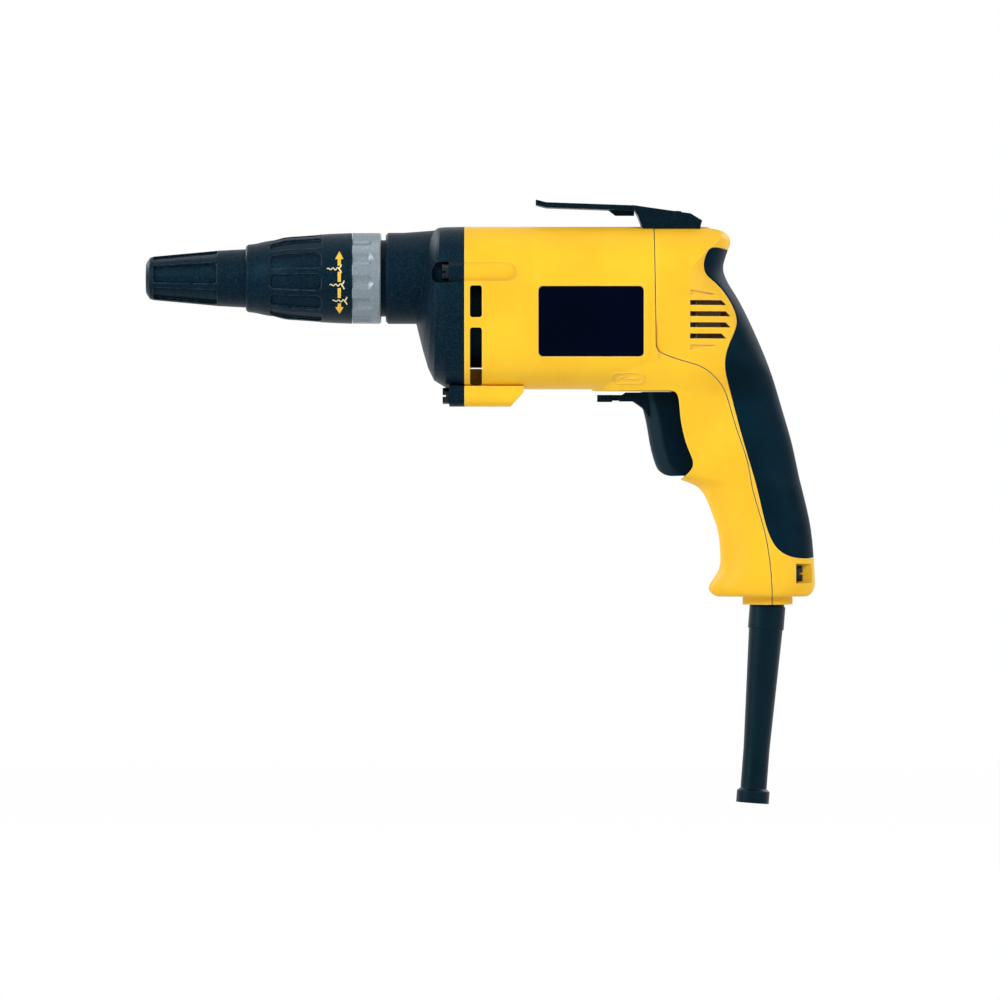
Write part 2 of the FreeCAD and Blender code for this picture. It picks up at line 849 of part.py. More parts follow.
def nose_o_ring():
    ring = Part.makeTorus(neck_radius - o_ring_sink + o_ring_wire, o_ring_wire, V(0, 0, 0), AXIS_X)
    ring.translate(V(neck_x + groove_x, 0, 0))
    return ring


# Gear case

def case_bulb():
    """The swelling behind the barrel: a leaning front, straight sides and a rising ridge on top."""
    root = barrel_radius - bulb_step
    rows = [(case_x + barrel_back, root, root, root, 2, bulb_lean_share)]
    for share, wide_share, top_share, belly_share, bluntness, lean in bulb_shares:
        rows.append((case_x + share * case_length, wide_share * body_half_width, top_share * body_top,
                     belly_share * body_belly, bluntness, lean))
    nose = Part.makeLoft([cross_section(*row) for row in rows], True, True)
    side = Part.makeLoft([cross_section(*rows[-1]), body_section(body_x, 0, front_band_rise)], True, True)
    ends = [(case_x + barrel_chamfer, root), (body_x, ridge_share * body_top)]
    ridge = Part.makeLoft([cross_section(x, root, top, root, 2) for x, top in ends], True, True)
    return nose.fuse([side, ridge])


def screw_places():
    """Axis places of the four front screws, as (y, z) pairs."""
    low = -body_belly - low_boss_drop
    return [(side_boss_y, side_boss_z), (-side_boss_y, side_boss_z), (low_boss_y, low), (-low_boss_y, low)]


def plate_recess(inset):
    half = plate_half_width + body_wall - inset
    room = block(recess_x, body_x + overrun, -half, half, -handle_drop, handle_drop)
    return body_slice(inset, recess_x, body_x + overrun).common(room)


def gear_case():
    barrel = rod(case_x, body_x, barrel_radius)
    edge = [e for e in barrel.Edges if abs(e.CenterOfMass.x - case_x) < seat_gap]
    barrel = barrel.makeChamfer(barrel_chamfer, edge)
    case = barrel.fuse(case_bulb())
    case = case.fuse(rod(neck_x, case_x + overrun, neck_radius))
    seat = body_x - case_boss_length
    for y, z in screw_places():
        case = case.fuse(rod(seat, body_x, boss_radius, y, z))
        if z < -body_belly:
            case = case.fuse(low_web(seat, body_x, y, z))
        case = case.cut(screw_way(y, z, seat))
    cuts = [rod(neck_x - overrun, bearing_x, bush_bore_radius),
            rod(bearing_x - seat_gap, gear_x, bearing_radius + running_gap),
            rod(flange_back + jaw_height, recess_x + overrun, gear_tip_radius + overrun),
            rod(gear_x - 2 * overrun, recess_x + overrun, pinion_room(), 0, motor_z),
            plate_recess(case_wall)]
    case = case.cut(cuts)
    groove = tube(neck_x + groove_x - groove_width / 2, neck_x + groove_x + groove_width / 2,
                  neck_radius - o_ring_sink, neck_radius + overrun)
    return case.cut(groove)


def screw_way(y, z, seat):
    """Screw hole and the pocket in front of it, open to the outside."""
    hole = rod(seat - pocket_length, body_x + overrun, screw_radius + seat_gap, y, z)
    front = seat - pocket_length + boss_radius
    slot = rod(front, seat, boss_radius, y, z)
    ball = Part.makeSphere(boss_radius, V(front, y, z))
    out = V(0, math.copysign(boss_radius, y), 0) if abs(z) < boss_radius else V(0, 0, -boss_radius)
    copies = []
    for shape in (slot, ball):
        other = shape.copy()
        other.translate(out)
        copies += [shape, other]
    return fuse_all([hole] + copies)


def pinion_room():
    return gear_module * (pinion_teeth / 2 + 1 + profile_shift_share) + overrun


def screw(x_seat, y, z, bite, radius, head_radius, head_length):
    """A screw along +X with a slotted head in front of its seat."""
    head = rod(x_seat - head_length, x_seat, head_radius, y, z)
    slot = block(x_seat - head_length - overrun, x_seat - head_length / 2, y - head_radius, y + head_radius,
                 z - screw_slot / 2, z + screw_slot / 2)
    cross = slot.copy()
    cross.rotate(V(0, y, z), AXIS_X, 90)
    return rod(x_seat - seat_gap, x_seat + bite, radius, y, z).fuse(head).cut([slot, cross])


def gear_case_screws():
    seat = body_x - case_boss_length
    bite = case_boss_length + screw_bite
    return Part.makeCompound([screw(seat, y, z, bite, screw_radius, screw_head_radius, screw_head_length)
                              for y, z in screw_places()])


def bearing_plate():
    far = handle_drop
    plate = plate_recess(case_wall + loose_gap)
    plate = plate.common(block(recess_x, body_x - seat_gap, -far, far, -far, far))
    shaft = rod(recess_x - overrun, body_x, shaft_radius + end_gap, 0, motor_z)
    pocket = rod(front_bearing_x - seat_gap, body_x + overrun, front_bearing_radius, 0, motor_z)
    return plate.cut([shaft, pocket, rod(recess_x - overrun, recess_x + pin_seat, pin_radius)])


# Gears and shafts

def involute(angle):
    return math.tan(angle) - angle


def gear_blank(teeth, shift, tooth_at, x0, x1):
    """A spur gear of involute teeth, one tooth pointing along tooth_at."""
    alpha = math.radians(pressure_angle)
    pitch = gear_module * teeth / 2
    base = pitch * math.cos(alpha)
    tip = pitch + gear_module * (1 + shift)
    root = pitch - gear_module * (root_share - shift)
    half = math.pi / (2 * teeth) + 2 * shift * math.tan(alpha) / teeth - backlash / (4 * pitch)
    start = max(base, root)

    def at(radius, angle):
        return V(x0, radius * math.cos(angle), radius * math.sin(angle))

    flank = []
    for i in range(flank_points):
        radius = start + (tip - start) * i / (flank_points - 1)
        flank.append((radius, half + involute(alpha) - involute(math.acos(min(1, base / radius)))))
    edges = []
    first = None
    last = None
    for tooth in range(teeth):
        centre = math.radians(tooth_at) + 2 * math.pi * tooth / teeth
        rising = [at(r, centre - a) for r, a in flank]
        falling = [at(r, centre + a) for r, a in reversed(flank)]
        foot_in = at(root, centre - flank[0][1])
        foot_out = at(root, centre + flank[0][1])
        if last is not None:
            edges.append(Part.makeLine(last, foot_in))
        else:
            first = foot_in
        if root < base:
            edges.append(Part.makeLine(foot_in, rising[0]))
        edges.append(curve(rising))
        edges.append(Part.makeLine(rising[-1], falling[0]))
        edges.append(curve(falling))
        if root < base:
            edges.append(Part.makeLine(falling[-1], foot_out))
        last = foot_out
    edges.append(Part.makeLine(last, first))
    return Part.Face(Part.Wire(edges)).extrude(V(x1 - x0, 0, 0))


def jaws(x0, x1, turn):
    """Clutch jaws: sectors of a ring between two stations."""
    ring = tube(x0, x1, jaw_root_radius, flange_radius)
    sector = Part.makeCylinder(2 * flange_radius, x1 - x0, V(x0, 0, 0), AXIS_X, jaw_angle)
    return [ring.common(s) for s in ring_copies(sector, jaw_count, turn)]


def drive_gear():
    blank = gear_blank(gear_teeth, -profile_shift_share, -90 + 180 / gear_teeth, gear_x, gear_x + gear_width)
    gear = fuse_all([blank] + jaws(gear_x - jaw_height, gear_x + seat_gap, 180 / jaw_count))
    return gear.cut(rod(gear_x - 2 * jaw_height, recess_x, pin_radius + running_gap))


def gear_pin():
    return rod(flange_back - pin_reach, recess_x + pin_seat, pin_radius)


def gear_washer():
    x = gear_x + gear_width + running_gap
    return tube(x, recess_x, pin_radius + running_gap, washer_radius)


def clutch_spring():
    return coil(flange_back + seat_gap, gear_x - seat_gap, clutch_coil_radius, clutch_wire, clutch_turns)


def spindle():
    shaft = rod(spindle_x, flange_back, spindle_radius)
    flange = rod(flange_back - flange_length, flange_back, flange_radius)
    solid = fuse_all([shaft, flange] + jaws(flange_back - seat_gap, flange_back + jaw_height, 0))
    socket_end = spindle_x + shank_length - shank_gap + overrun
    socket = hexagon(spindle_x - overrun, socket_end, bit_flat + 2 * seat_gap)
    pilot = rod(flange_back - pin_reach - clutch_travel - overrun, flange_back + jaw_height,
                pin_radius + running_gap)
    clip_x = spindle_x + clip_inset
    clip_room = rod(clip_x, clip_x + clip_width, bit_flat / 2 + clip_width)
    groove = tube(bearing_x - running_gap - circlip_width, bearing_x - running_gap,
                  spindle_radius - circlip_sink, spindle_radius + overrun)
    return solid.cut([socket, pilot, clip_room, groove])


def spindle_circlip():
    x = bearing_x - running_gap - circlip_width
    ring = tube(x + seat_gap, x + circlip_width - seat_gap, spindle_radius - circlip_sink,
                spindle_radius - circlip_sink + circlip_height)
    gap = block(x, x + circlip_width, -circlip_height, circlip_height, 0, 2 * spindle_radius)
    return ring.cut(gap)


def spindle_bearing():
    return tube(bearing_x, bearing_x + bearing_length, spindle_radius + running_gap, bearing_radius)


def spindle_seal():
    return tube(neck_x + seat_gap, neck_x + seal_length, spindle_radius + running_gap, bush_bore_radius)


def spindle_bush():
    x = neck_x + seal_length
    return tube(x, x + bush_length, spindle_radius + running_gap, bush_bore_radius)


def bit_holder():
    sleeve = rod(holder_x, holder_x + holder_sleeve, holder_radius)
    shank = hexagon(holder_x + holder_sleeve - seat_gap, spindle_x + shank_length - shank_gap, bit_flat)
    socket = hexagon(holder_x - overrun, holder_x + bit_grip, bit_flat + 2 * seat_gap)
    seat = rod(holder_x, holder_x + bit_grip + magnet_length + 2 * seat_gap, magnet_radius)
    clip_x = spindle_x + clip_inset
    groove = tube(clip_x, clip_x + clip_width, bit_flat / 2 - clip_depth, bit_flat)
    holder = sleeve.fuse(shank).cut([socket, seat, groove])
    rim = [e for e in holder.Edges if abs(e.CenterOfMass.x - holder_x) < seat_gap
           and e.Length > 5 * holder_radius]
    return holder.makeChamfer(end_gap, rim)


def bit_magnet():
    x = holder_x + bit_grip + seat_gap
    return rod(x, x + magnet_length, magnet_radius)


def bit_clip():
    x = spindle_x + clip_inset + seat_gap
    ring = tube(x, x + clip_width - 2 * seat_gap, bit_flat / 2 - clip_depth + seat_gap,
                bit_flat / 2 + clip_width / 2)
    gap = block(x - overrun, x + clip_width, -clip_depth, clip_depth, 0, bit_flat)
    return ring.cut(gap)


def driver_bit():
    point = bit_recess + bit_point
    tip = turned([(bit_recess, 0), (bit_recess, bit_point_radius), (point, bit_neck_radius), (point, 0)])
    shank = hexagon(point, bit_recess + bit_length, bit_flat)
    bit = tip.fuse(shank)
    notch = block(bit_recess - overrun, point - overrun, bit_slot / 2, bit_flat, bit_slot / 2, bit_flat)
    return bit.cut(ring_copies(notch, 4))


# Motor

def armature_shaft():
    rear = bracket_x + bracket_hub_length - cup_wall
    pinion_x = gear_x - pinion_overlap
    pinion = gear_blank(pinion_teeth, profile_shift_share, 90, pinion_x, recess_x)
    pinion.translate(V(0, 0, motor_z))
    neck = rod(recess_x - seat_gap, body_x + pinion_shaft_gap, shaft_end_radius, 0, motor_z)
    middle = rod(body_x + pinion_shaft_gap, bracket_x, shaft_radius, 0, motor_z)
    end = rod(bracket_x - seat_gap, rear - seat_gap, shaft_end_radius, 0, motor_z)
    return fuse_all([pinion, neck, middle, end])


def armature_core():
    x1 = field_x + field_length
    core = tube(field_x, x1, shaft_radius, armature_radius, 0, motor_z)
    slot = block(field_x - overrun, x1 + overrun, -slot_width / 2, slot_width / 2,
                 motor_z + armature_radius - slot_depth, motor_z + armature_radius + overrun)
    return core.cut(ring_copies(slot, slot_count, 0, motor_z))


def armature_windings():
    x1 = field_x + field_length
    inner = shaft_radius + overrun
    outer = winding_radius
    half = coil_overhang / 2
    pieces = []
    for near, far in ((field_x, field_x - coil_overhang + baffle_gap), (x1, x1 + coil_overhang - baffle_gap)):
        middle = (near + far) / 2
        ring = turned([(near, inner), (near, outer), (middle, outer), (far, outer - half), (far, inner)])
        ring.translate(V(0, 0, motor_z))
        pieces.append(ring)
    for pair in ring_copies(block(field_x, x1, -slot_width / 2 + seat_gap, slot_width / 2 - seat_gap,
                                  motor_z + armature_radius - slot_depth + seat_gap, motor_z + winding_radius),
                            slot_count, 0, motor_z):
        pieces.append(pair)
    return fuse_all(pieces)


def commutator():
    ring = tube(commutator_x, commutator_x + commutator_length, shaft_radius, commutator_radius, 0, motor_z)
    slit = block(commutator_x - overrun, commutator_x + commutator_length + overrun, -commutator_slit / 2,
                 commutator_slit / 2, motor_z + commutator_radius - commutator_slit_depth,
                 motor_z + commutator_radius + overrun)
    return ring.cut(ring_copies(slit, slot_count, 0, motor_z))


def cooling_fan():
    back = fan_x + fan_length
    disc = back - fan_disc
    cone = turned([(fan_x, 0), (fan_x, fan_hub_radius), (disc, fan_cone_radius), (disc, fan_radius),
                   (back, fan_radius), (back, 0)])
    cone.translate(V(0, 0, motor_z))
    blade = block(fan_x, disc + seat_gap, -fan_blade / 2, fan_blade / 2, motor_z + fan_hub_radius - overrun,
                  motor_z + fan_radius - fan_blade / 2)
    rim = tube(fan_x, back, fan_radius - fan_blade, fan_radius)
    rim.translate(V(0, 0, motor_z))
    fan = fuse_all([cone, rim] + ring_copies(blade, fan_blades, 0, motor_z))
    return fan.cut(rod(fan_x - overrun, back + overrun, shaft_radius, 0, motor_z))


def front_bearing():
    return tube(front_bearing_x, body_x, shaft_end_radius + running_gap, front_bearing_radius, 0, motor_z)


def air_baffle():
    plate = body_slice(body_wall + loose_gap, baffle_x, baffle_x + baffle_thickness)
    hole = rod(baffle_x - overrun, baffle_x + baffle_thickness + overrun, baffle_hole, 0, motor_z)
    for y, z in screw_places()[:2]:
        hole = hole.fuse(rod(baffle_x - overrun, baffle_x + baffle_thickness + overrun,
                             boss_radius + loose_gap, y, z))
    return plate.cut(hole)


def field_window():
    """Half the height of the windows that the coils lie in."""
    return field_window_share * (armature_radius + air_gap)


def field_core():
    x1 = field_x + field_length
    bore = armature_radius + air_gap
    core = tube(field_x, x1, bore, field_radius, 0, motor_z)
    half = field_window()
    window = block(field_x - overrun, x1 + overrun, -field_radius, field_radius, motor_z - half, motor_z + half)
    limit = rod(field_x - overrun, x1 + overrun, field_radius - field_ring, 0, motor_z)
    return core.cut(window.common(limit))


def field_coils():
    """Two coils that lie in the side windows and loop past both ends of the core."""
    x0 = field_x - coil_overhang
    x1 = field_x + field_length + coil_overhang
    inner = armature_radius + 2 * air_gap
    outer = field_radius - field_ring - seat_gap
    band = tube(x0, x1, inner, outer, 0, motor_z)
    upper = block(x0 - overrun, x1 + overrun, -field_radius, field_radius, motor_z + air_gap,
                  motor_z + field_radius)
    pole = block(field_x - seat_gap, field_x + field_length + seat_gap, -field_radius, field_radius,
                 motor_z + field_window() - seat_gap, motor_z + field_radius)
    coil_above = band.common(upper).cut(pole)
    return Part.makeCompound(ring_copies(coil_above, 2, 0, motor_z))


def rear_bearing_bracket():
    half = bracket_half_height
    plate = body_slice(body_wall + loose_gap, bracket_x, bracket_x + bracket_thickness)
    plate = plate.common(block(bracket_x, bracket_x + bracket_thickness, -body_half_width, body_half_width,
                               motor_z - half, motor_z + half))
    hub = rod(bracket_x, bracket_x + bracket_hub_length, bracket_hub_radius, 0, motor_z)
    cup = front_bearing_radius + cup_wall
    hollow = rod(bracket_x + cup_wall, bracket_x + bracket_hub_length - overrun, cup, 0, motor_z)
    passage = rod(bracket_x - overrun, bracket_x + 2 * cup_wall, shaft_radius + end_gap, 0, motor_z)
    bracket = fuse_all([plate, hub, bracket_shelf_block(), bracket_fin_block()])
    return bracket.cut([hollow, passage])


def bracket_shelf_block():
    """The shelf behind the bracket that carries the capacitor."""
    z = level(capacitor_level_share)
    return block(bracket_x, along(capacitor_front_share) + capacitor_length, -bracket_shelf_half_width,
                 bracket_shelf_half_width, z - bracket_shelf, z)


def bracket_fin_block():
    z = level(capacitor_level_share)
    return block(bracket_x + bracket_hub_length - overrun, along(capacitor_front_share) - loose_gap,
                 -bracket_fin / 2, bracket_fin / 2, z - bracket_shelf / 2, z + capacitor_height)


def cover_fin():
    """A rib of the cover behind the capacitor, in line with the bracket's fin."""
    z = level(capacitor_level_share)
    x0 = along(capacitor_front_share) + capacitor_length + loose_gap
    return block(x0, rear_edge(), -bracket_fin / 2, bracket_fin / 2, z - bracket_shelf, z + capacitor_height)


def rear_bearing_cup():
    x = bracket_x + cup_wall
    outer = front_bearing_radius + cup_wall
    return tube(x, x + rear_bearing_length + cup_wall, front_bearing_radius, outer, 0, motor_z)


def rear_bearing():
    x = bracket_x + cup_wall + seat_gap
    return tube(x, x + rear_bearing_length, shaft_end_radius + running_gap, front_bearing_radius, 0, motor_z)


def brush_centre():
    return commutator_x + commutator_length / 2


def to_side(shape, side):
    return shape if side > 0 else shape.mirror(V(0, 0, 0), AXIS_Y)


def brush_holders():
    x = brush_centre()
    wide = brush_width / 2 + seat_gap
    high = brush_height / 2 + seat_gap
    start = commutator_radius + overrun
    box = block(x - wide - brush_wall, x + wide + brush_wall, start, brush_box_end, motor_z - high - brush_wall,
                motor_z + high + brush_wall)
    hollow = block(x - wide, x + wide, start - overrun, brush_box_end - brush_wall, motor_z - high,
                   motor_z + high)
    lug = block(x + wide + brush_wall - seat_gap, bracket_x, brush_box_end - brush_lug, brush_box_end,
                motor_z - high, motor_z + high)
    holder = box.cut(hollow).fuse(lug)
    return Part.makeCompound([to_side(holder, side) for side in (1, -1)])


def brushes():
    x = brush_centre()
    start = commutator_radius + brush_gap
    brush = block(x - brush_width / 2, x + brush_width / 2, start, start + brush_length,
                  motor_z - brush_height / 2, motor_z + brush_height / 2)
    return Part.makeCompound([to_side(brush, side) for side in (1, -1)])


def brush_springs():
    start = commutator_radius + brush_gap + brush_length + seat_gap
    spring = coil(start, brush_box_end - brush_wall - seat_gap, brush_width / 2 - 2 * brush_spring_wire,
                  brush_spring_wire, brush_spring_turns)
    made = []
    for turn in (90, -90):
        one = spring.copy()
        one.rotate(V(0, 0, 0), AXIS_Z, turn)
        one.translate(V(brush_centre(), 0, motor_z))
        made.append(one)
    return Part.makeCompound(made)


# Casing

def foot_ring():
    return post(foot_x, 0, -handle_drop - foot_ring_drop, -handle_drop + handle_wall, foot_ring_radius)


def boot_hole():
    low = -handle_drop - foot_ring_drop - overrun
    return post(foot_x, 0, low, -handle_drop + 2 * handle_wall, boot_hole_radius)


def low_tail(whole_tail):
    """The tail below the motor body's middle, where it grows out of the body."""
    far = 2 * handle_drop
    return whole_tail.common(block(body_x, body_x + 2 * far, -far, far, -far, level(low_tail_share)))


def handle_room(tail_room):
    """The hollow of the handle, with the floor over the trigger left in."""
    floor = block(body_x, along(floor_rear_share), -body_half_width, body_half_width,
                  -body_belly - handle_wall, -body_belly + body_wall)
    return tail_room.cut(floor)


def pocket_span():
    return level(cover_pocket_bottom_share), level(cover_pocket_top_share)


def cover_screw_z():
    return level(cover_screw_level_share)


def field_rails():
    """Ribs in the body's corners on which the field core and the baffle seat."""
    x0 = baffle_x + baffle_thickness
    rail = block(x0, field_x + field_length, -rail_width / 2, rail_width / 2, motor_z + field_radius,
                 motor_z + 2 * field_radius)
    middle = body(body_wall / 2, body_x, seam_x)
    rails = [r.common(middle) for r in ring_copies(rail, 4, 45, motor_z)]
    room = rod(x0 - overrun, field_x + field_length + overrun, field_radius + seat_gap, 0, motor_z)
    return [r.cut(room) for r in rails]


def body_bosses():
    """Screw bosses on the front of the motor body, round behind at the sides and slanted below."""
    bosses = []
    for y, z in screw_places():
        if z < -body_belly:
            bosses.append(low_boss(y, z))
        else:
            end = body_x + side_boss_length
            bosses += [rod(body_x, end, boss_radius, y, z), Part.makeSphere(boss_radius, V(end, y, z))]
    return bosses


def low_boss(y, z):
    end = body_x + low_boss_length
    tip = end + low_boss_slope
    low = z - boss_radius
    boss = rod(body_x, tip, boss_radius, y, z).fuse(low_web(body_x, tip, y, z))
    under = [V(end, 0, low), V(tip + overrun, 0, -body_belly), V(tip + overrun, 0, low - overrun),
             V(end, 0, low - overrun)]
    return boss.cut(side_prism(polygon_edges(under), body_half_width))


def low_web(x0, x1, y, z):
    """The foot that joins a low boss to the belly above it."""
    return block(x0, x1, y - boss_radius, y + boss_radius, z, -body_belly + body_wall / 2)


def front_vents():
    x0 = body_x + front_vent_gap
    return [side_panel(x0, x0 + front_vent_width, level(low), level(high), vent_corner, 2 * body_half_width)
            for high, low in front_vent_levels_shares]


def vent_rib_block():
    """A rib on the belly, under the fan and between the vents of both sides."""
    x0 = body_x + front_vent_gap / 2
    return block(x0, fan_x + fan_length, -vent_rib / 2, vent_rib / 2, -body_belly + body_wall / 4,
                 motor_z - fan_radius - fan_clearance)


def label_panel(grow):
    x0 = body_x + label_front_share * body_length
    x1 = body_x + label_rear_share * body_length
    return side_panel(x0 - grow, x1 + grow, level(label_bottom_share) - grow, level(label_top_share) + grow,
                      label_corner, 2 * body_half_width)


def label_tool(grow):
    """The two side pads of a label, from the recess floor outwards."""
    return label_panel(grow).cut(body(label_recess, body_x - overrun, seam_x + overrun))


def side_labels():
    lift = label_recess - label_thickness
    return body(lift, body_x, seam_x).common(label_tool(-label_gap))


def clamp_face():
    return foot_x + boot_bore + clamp_gap


def clamp_posts():
    z = level(clamp_level_share)
    return [rod(post_root_x, clamp_face(), clamp_post_radius, y, z) for y in (clamp_post_y, -clamp_post_y)]


def switch_shelf():
    z = level(switch_bottom_share)
    x0 = along(switch_front_share) + overrun
    return block(x0, x0 + shelf_length, -body_half_width, body_half_width, z - shelf_thickness, z)


def trigger_room():
    """The space that the trigger sweeps, with its floor along the trigger's foot."""
    front = along(opening_front_share)
    rear = along(trigger_rear_share) + trigger_travel + overrun
    top = level(opening_top_share)
    toe = tail_points(trigger_front_shares)[-1] + V(trigger_travel, 0, -2 * moving_gap)
    heel = level(trigger_heel_share) - 2 * moving_gap
    corners = [V(front, 0, top), V(rear, 0, top), V(rear, 0, heel), toe, V(front, 0, toe.z)]
    return side_prism(polygon_edges(corners), trigger_half_width + moving_gap)


def motor_housing(whole_tail, grip_core, tail_room):
    region = cover_region(seam_gap)
    body_outside = body(0, body_x, seam_x + body_lap)
    body_room = body(body_wall, body_x - overrun, seam_x + body_lap + overrun)
    shell = body_outside.fuse([low_tail(whole_tail), foot_ring()])
    shell = shell.cut([body_room, handle_room(tail_room), boot_hole()])
    bosses = [rod(post_root_x, along(cover_pocket_front_share), cover_boss_radius, y, cover_screw_z())
              for y in (cover_screw_y, -cover_screw_y)]
    inner = [s.common(grip_core) for s in [switch_shelf()] + bosses]
    posts = [s.common(grip_core) for s in clamp_posts()]
    shell = fuse_all([shell] + inner).cut(region)
    shell = fuse_all([shell] + posts + body_bosses() + field_rails())
    cuts = [trigger_opening(), trigger_room(), label_tool(0)] + front_vents()
    cuts += [rod(body_x - overrun, body_x + screw_bite + overrun, screw_radius + seat_gap, y, z)
             for y, z in screw_places()]
    face = clamp_face()
    cuts += [rod(face - clamp_screw_bite - overrun, face + overrun, clamp_screw_radius + seat_gap, y,
                 level(clamp_level_share)) for y in (clamp_post_y, -clamp_post_y)]
    seat = along(cover_pocket_front_share)
    cuts += [rod(seat - cover_screw_bite - overrun, seat + overrun, screw_radius + seat_gap, y, cover_screw_z())
             for y in (cover_screw_y, -cover_screw_y)]
    return shell.cut(cuts).fuse(vent_rib_block())


def vent_slots():
    slots = []
    for (high, low), rear in zip(vent_level_shares, vent_rear_shares):
        slots.append(slanted_slot(vent_front_share, rear, high, low))
    return slots


def slanted_slot(front, rear, high, low):
    corners = [(front, high), (rear - vent_slant_share, high), (rear, low), (front, low)]
    return side_prism(polygon_edges(tail_points(corners)), 2 * body_half_width)


def cover_flutes():
    """Shallow wedges above and below the vents."""
    core = tail(cover_flute_depth)
    return [side_prism(polygon_edges(tail_points(shares)), 2 * body_half_width).cut(core)
            for shares in (upper_flute_shares, lower_flute_shares)]


def handle_cover(whole_tail, tail_room, grip_core):
    region = cover_region(0)
    shell = whole_tail.fuse(foot_ring()).cut([tail_room, boot_hole()]).common(region)
    seat = along(cover_pocket_front_share)
    z0, z1 = pocket_span()
    inner = []
    for side in (1, -1):
        inner.append(rod(foot_x, seat, cover_boss_radius, side * cover_screw_y, cover_screw_z()))
        wall = block(seat - 2 * overrun, rear_edge(), pocket_wall(), body_half_width, z0 - 2 * overrun,
                     z1 + 2 * overrun)
        inner.append(to_side(wall, side))
    hook_x = along(hook_screw_share)
    hook_floor = body_top - body_wall - hook_screw_bite
    boss = post(hook_x, 0, hook_floor, body_top - body_wall / 2, hook_boss_radius)
    shell = fuse_all([shell] + [s.common(grip_core).common(region) for s in inner] + [boss])
    cuts = [grip_region(grip_gap).cut(grip_core)] + vent_slots() + cover_flutes()
    for side in (1, -1):
        pocket = block(seat, rear_edge() + overrun, pocket_inner(), 2 * body_half_width, z0, z1)
        cuts.append(to_side(pocket, side))
        cuts.append(rod(foot_x - overrun, seat + overrun, screw_radius + seat_gap, side * cover_screw_y,
                        cover_screw_z()))
    cuts.append(post(hook_x, 0, hook_floor - overrun, body_top + overrun, screw_radius + seat_gap))
    return shell.cut(cuts).fuse(cover_fin().common(grip_core))


def rear_edge():
    return seam_x + tail_reach


def pocket_inner():
    return cover_screw_y - screw_head_radius - end_gap


def pocket_wall():
    return pocket_inner() - 2 * overrun


def handle_cover_screws():
    seat = along(cover_pocket_front_share)
    bite = cover_screw_bite
    made = []
    for y in (cover_screw_y, -cover_screw_y):
        one = screw(0, y, cover_screw_z(), bite, screw_radius, screw_head_radius, screw_head_length)
        one.rotate(V(0, 0, 0), AXIS_Z, 180)
        one.translate(V(seat, 0, 0))
        made.append(one)
    return Part.makeCompound(made)


def rear_grip(whole_tail, grip_core):
    return whole_tail.common(grip_region(0).cut(grip_core))


# Belt hook

def belt_hook():
    tip = along(hook_tip_share)
    kink = along(hook_kink_share)
    root = along(hook_root_share)
    end = along(hook_end_share)
    back = end - hook_heel * 2
    upper = [V(tip, 0, body_top + hook_tip_rise), V(kink, 0, body_top + hook_kink_rise + hook_strip / 2),
             V(root, 0, body_top + hook_back_rise + hook_strip / 2),
             V(back, 0, body_top + hook_back_rise - hook_heel), V(end, 0, body_top + hook_heel)]
    strip_low = [V(p.x, 0, p.z - hook_strip) for p in upper]
    fall = (upper[3].z - upper[2].z) / (back - root)
    bar = upper[:3] + [V(root + 2 * hook_heel, 0, upper[2].z + fall * 2 * hook_heel)]
    bar += [V(p.x, 0, p.z - hook_strip) for p in reversed(bar)]
    strip = side_prism(polygon_edges(bar), hook_half_width)
    seat = strip_low[2].z
    start = root - hook_web_length
    web_outline = [V(start, 0, seat + hook_strip / 2), V(start + 2 * hook_web, 0, seat - hook_web),
                   V(root + overrun, 0, seat - hook_web), V(root + overrun, 0, seat + hook_strip / 2)]
    web = side_prism(polygon_edges(web_outline), hook_web_half)
    low = body_top - hook_skirt
    saddle_outline = upper[2:] + [V(end - hook_heel / 2, 0, low), V(root + 2 * hook_heel, 0, low),
                                  V(root + hook_heel, 0, strip_low[2].z - hook_heel)]
    saddle = side_prism(polygon_edges(saddle_outline), hook_saddle_half_width)
    wall = hook_saddle_wall
    room_outline = [V(root + 2 * hook_heel + wall, 0, strip_low[2].z), V(back - wall, 0, strip_low[3].z),
                    V(end - 2 * wall, 0, low - overrun), V(root + 2 * hook_heel + wall, 0, low - overrun)]
    room = side_prism(polygon_edges(room_outline), hook_saddle_half_width - wall)
    x = along(hook_screw_share)
    pillar = post(x, 0, low, strip_low[2].z, hook_post_radius)
    hook = fuse_all([strip, web, saddle.cut(room), pillar])
    top = body_top + hook_back_rise + hook_strip
    hole = post(x, 0, low - overrun, top, screw_radius + seat_gap)
    sink = post(x, 0, hook_screw_seat(), top, screw_head_radius + seat_gap)
    return hook.cut([crown(-seat_gap - crown_step), hole, sink])


def hook_screw_seat():
    return body_top + hook_back_rise - hook_strip


def belt_hook_screw():
    x = along(hook_screw_share)
    seat = hook_screw_seat()
    bite = seat - body_top + body_wall + hook_screw_bite - overrun
    one = screw(0, 0, 0, bite, screw_radius, screw_head_radius, hook_strip / 2)
    one.rotate(V(0, 0, 0), AXIS_Y, 90)
    one.translate(V(x, 0, seat))
    return one


# Trigger, switch and lever

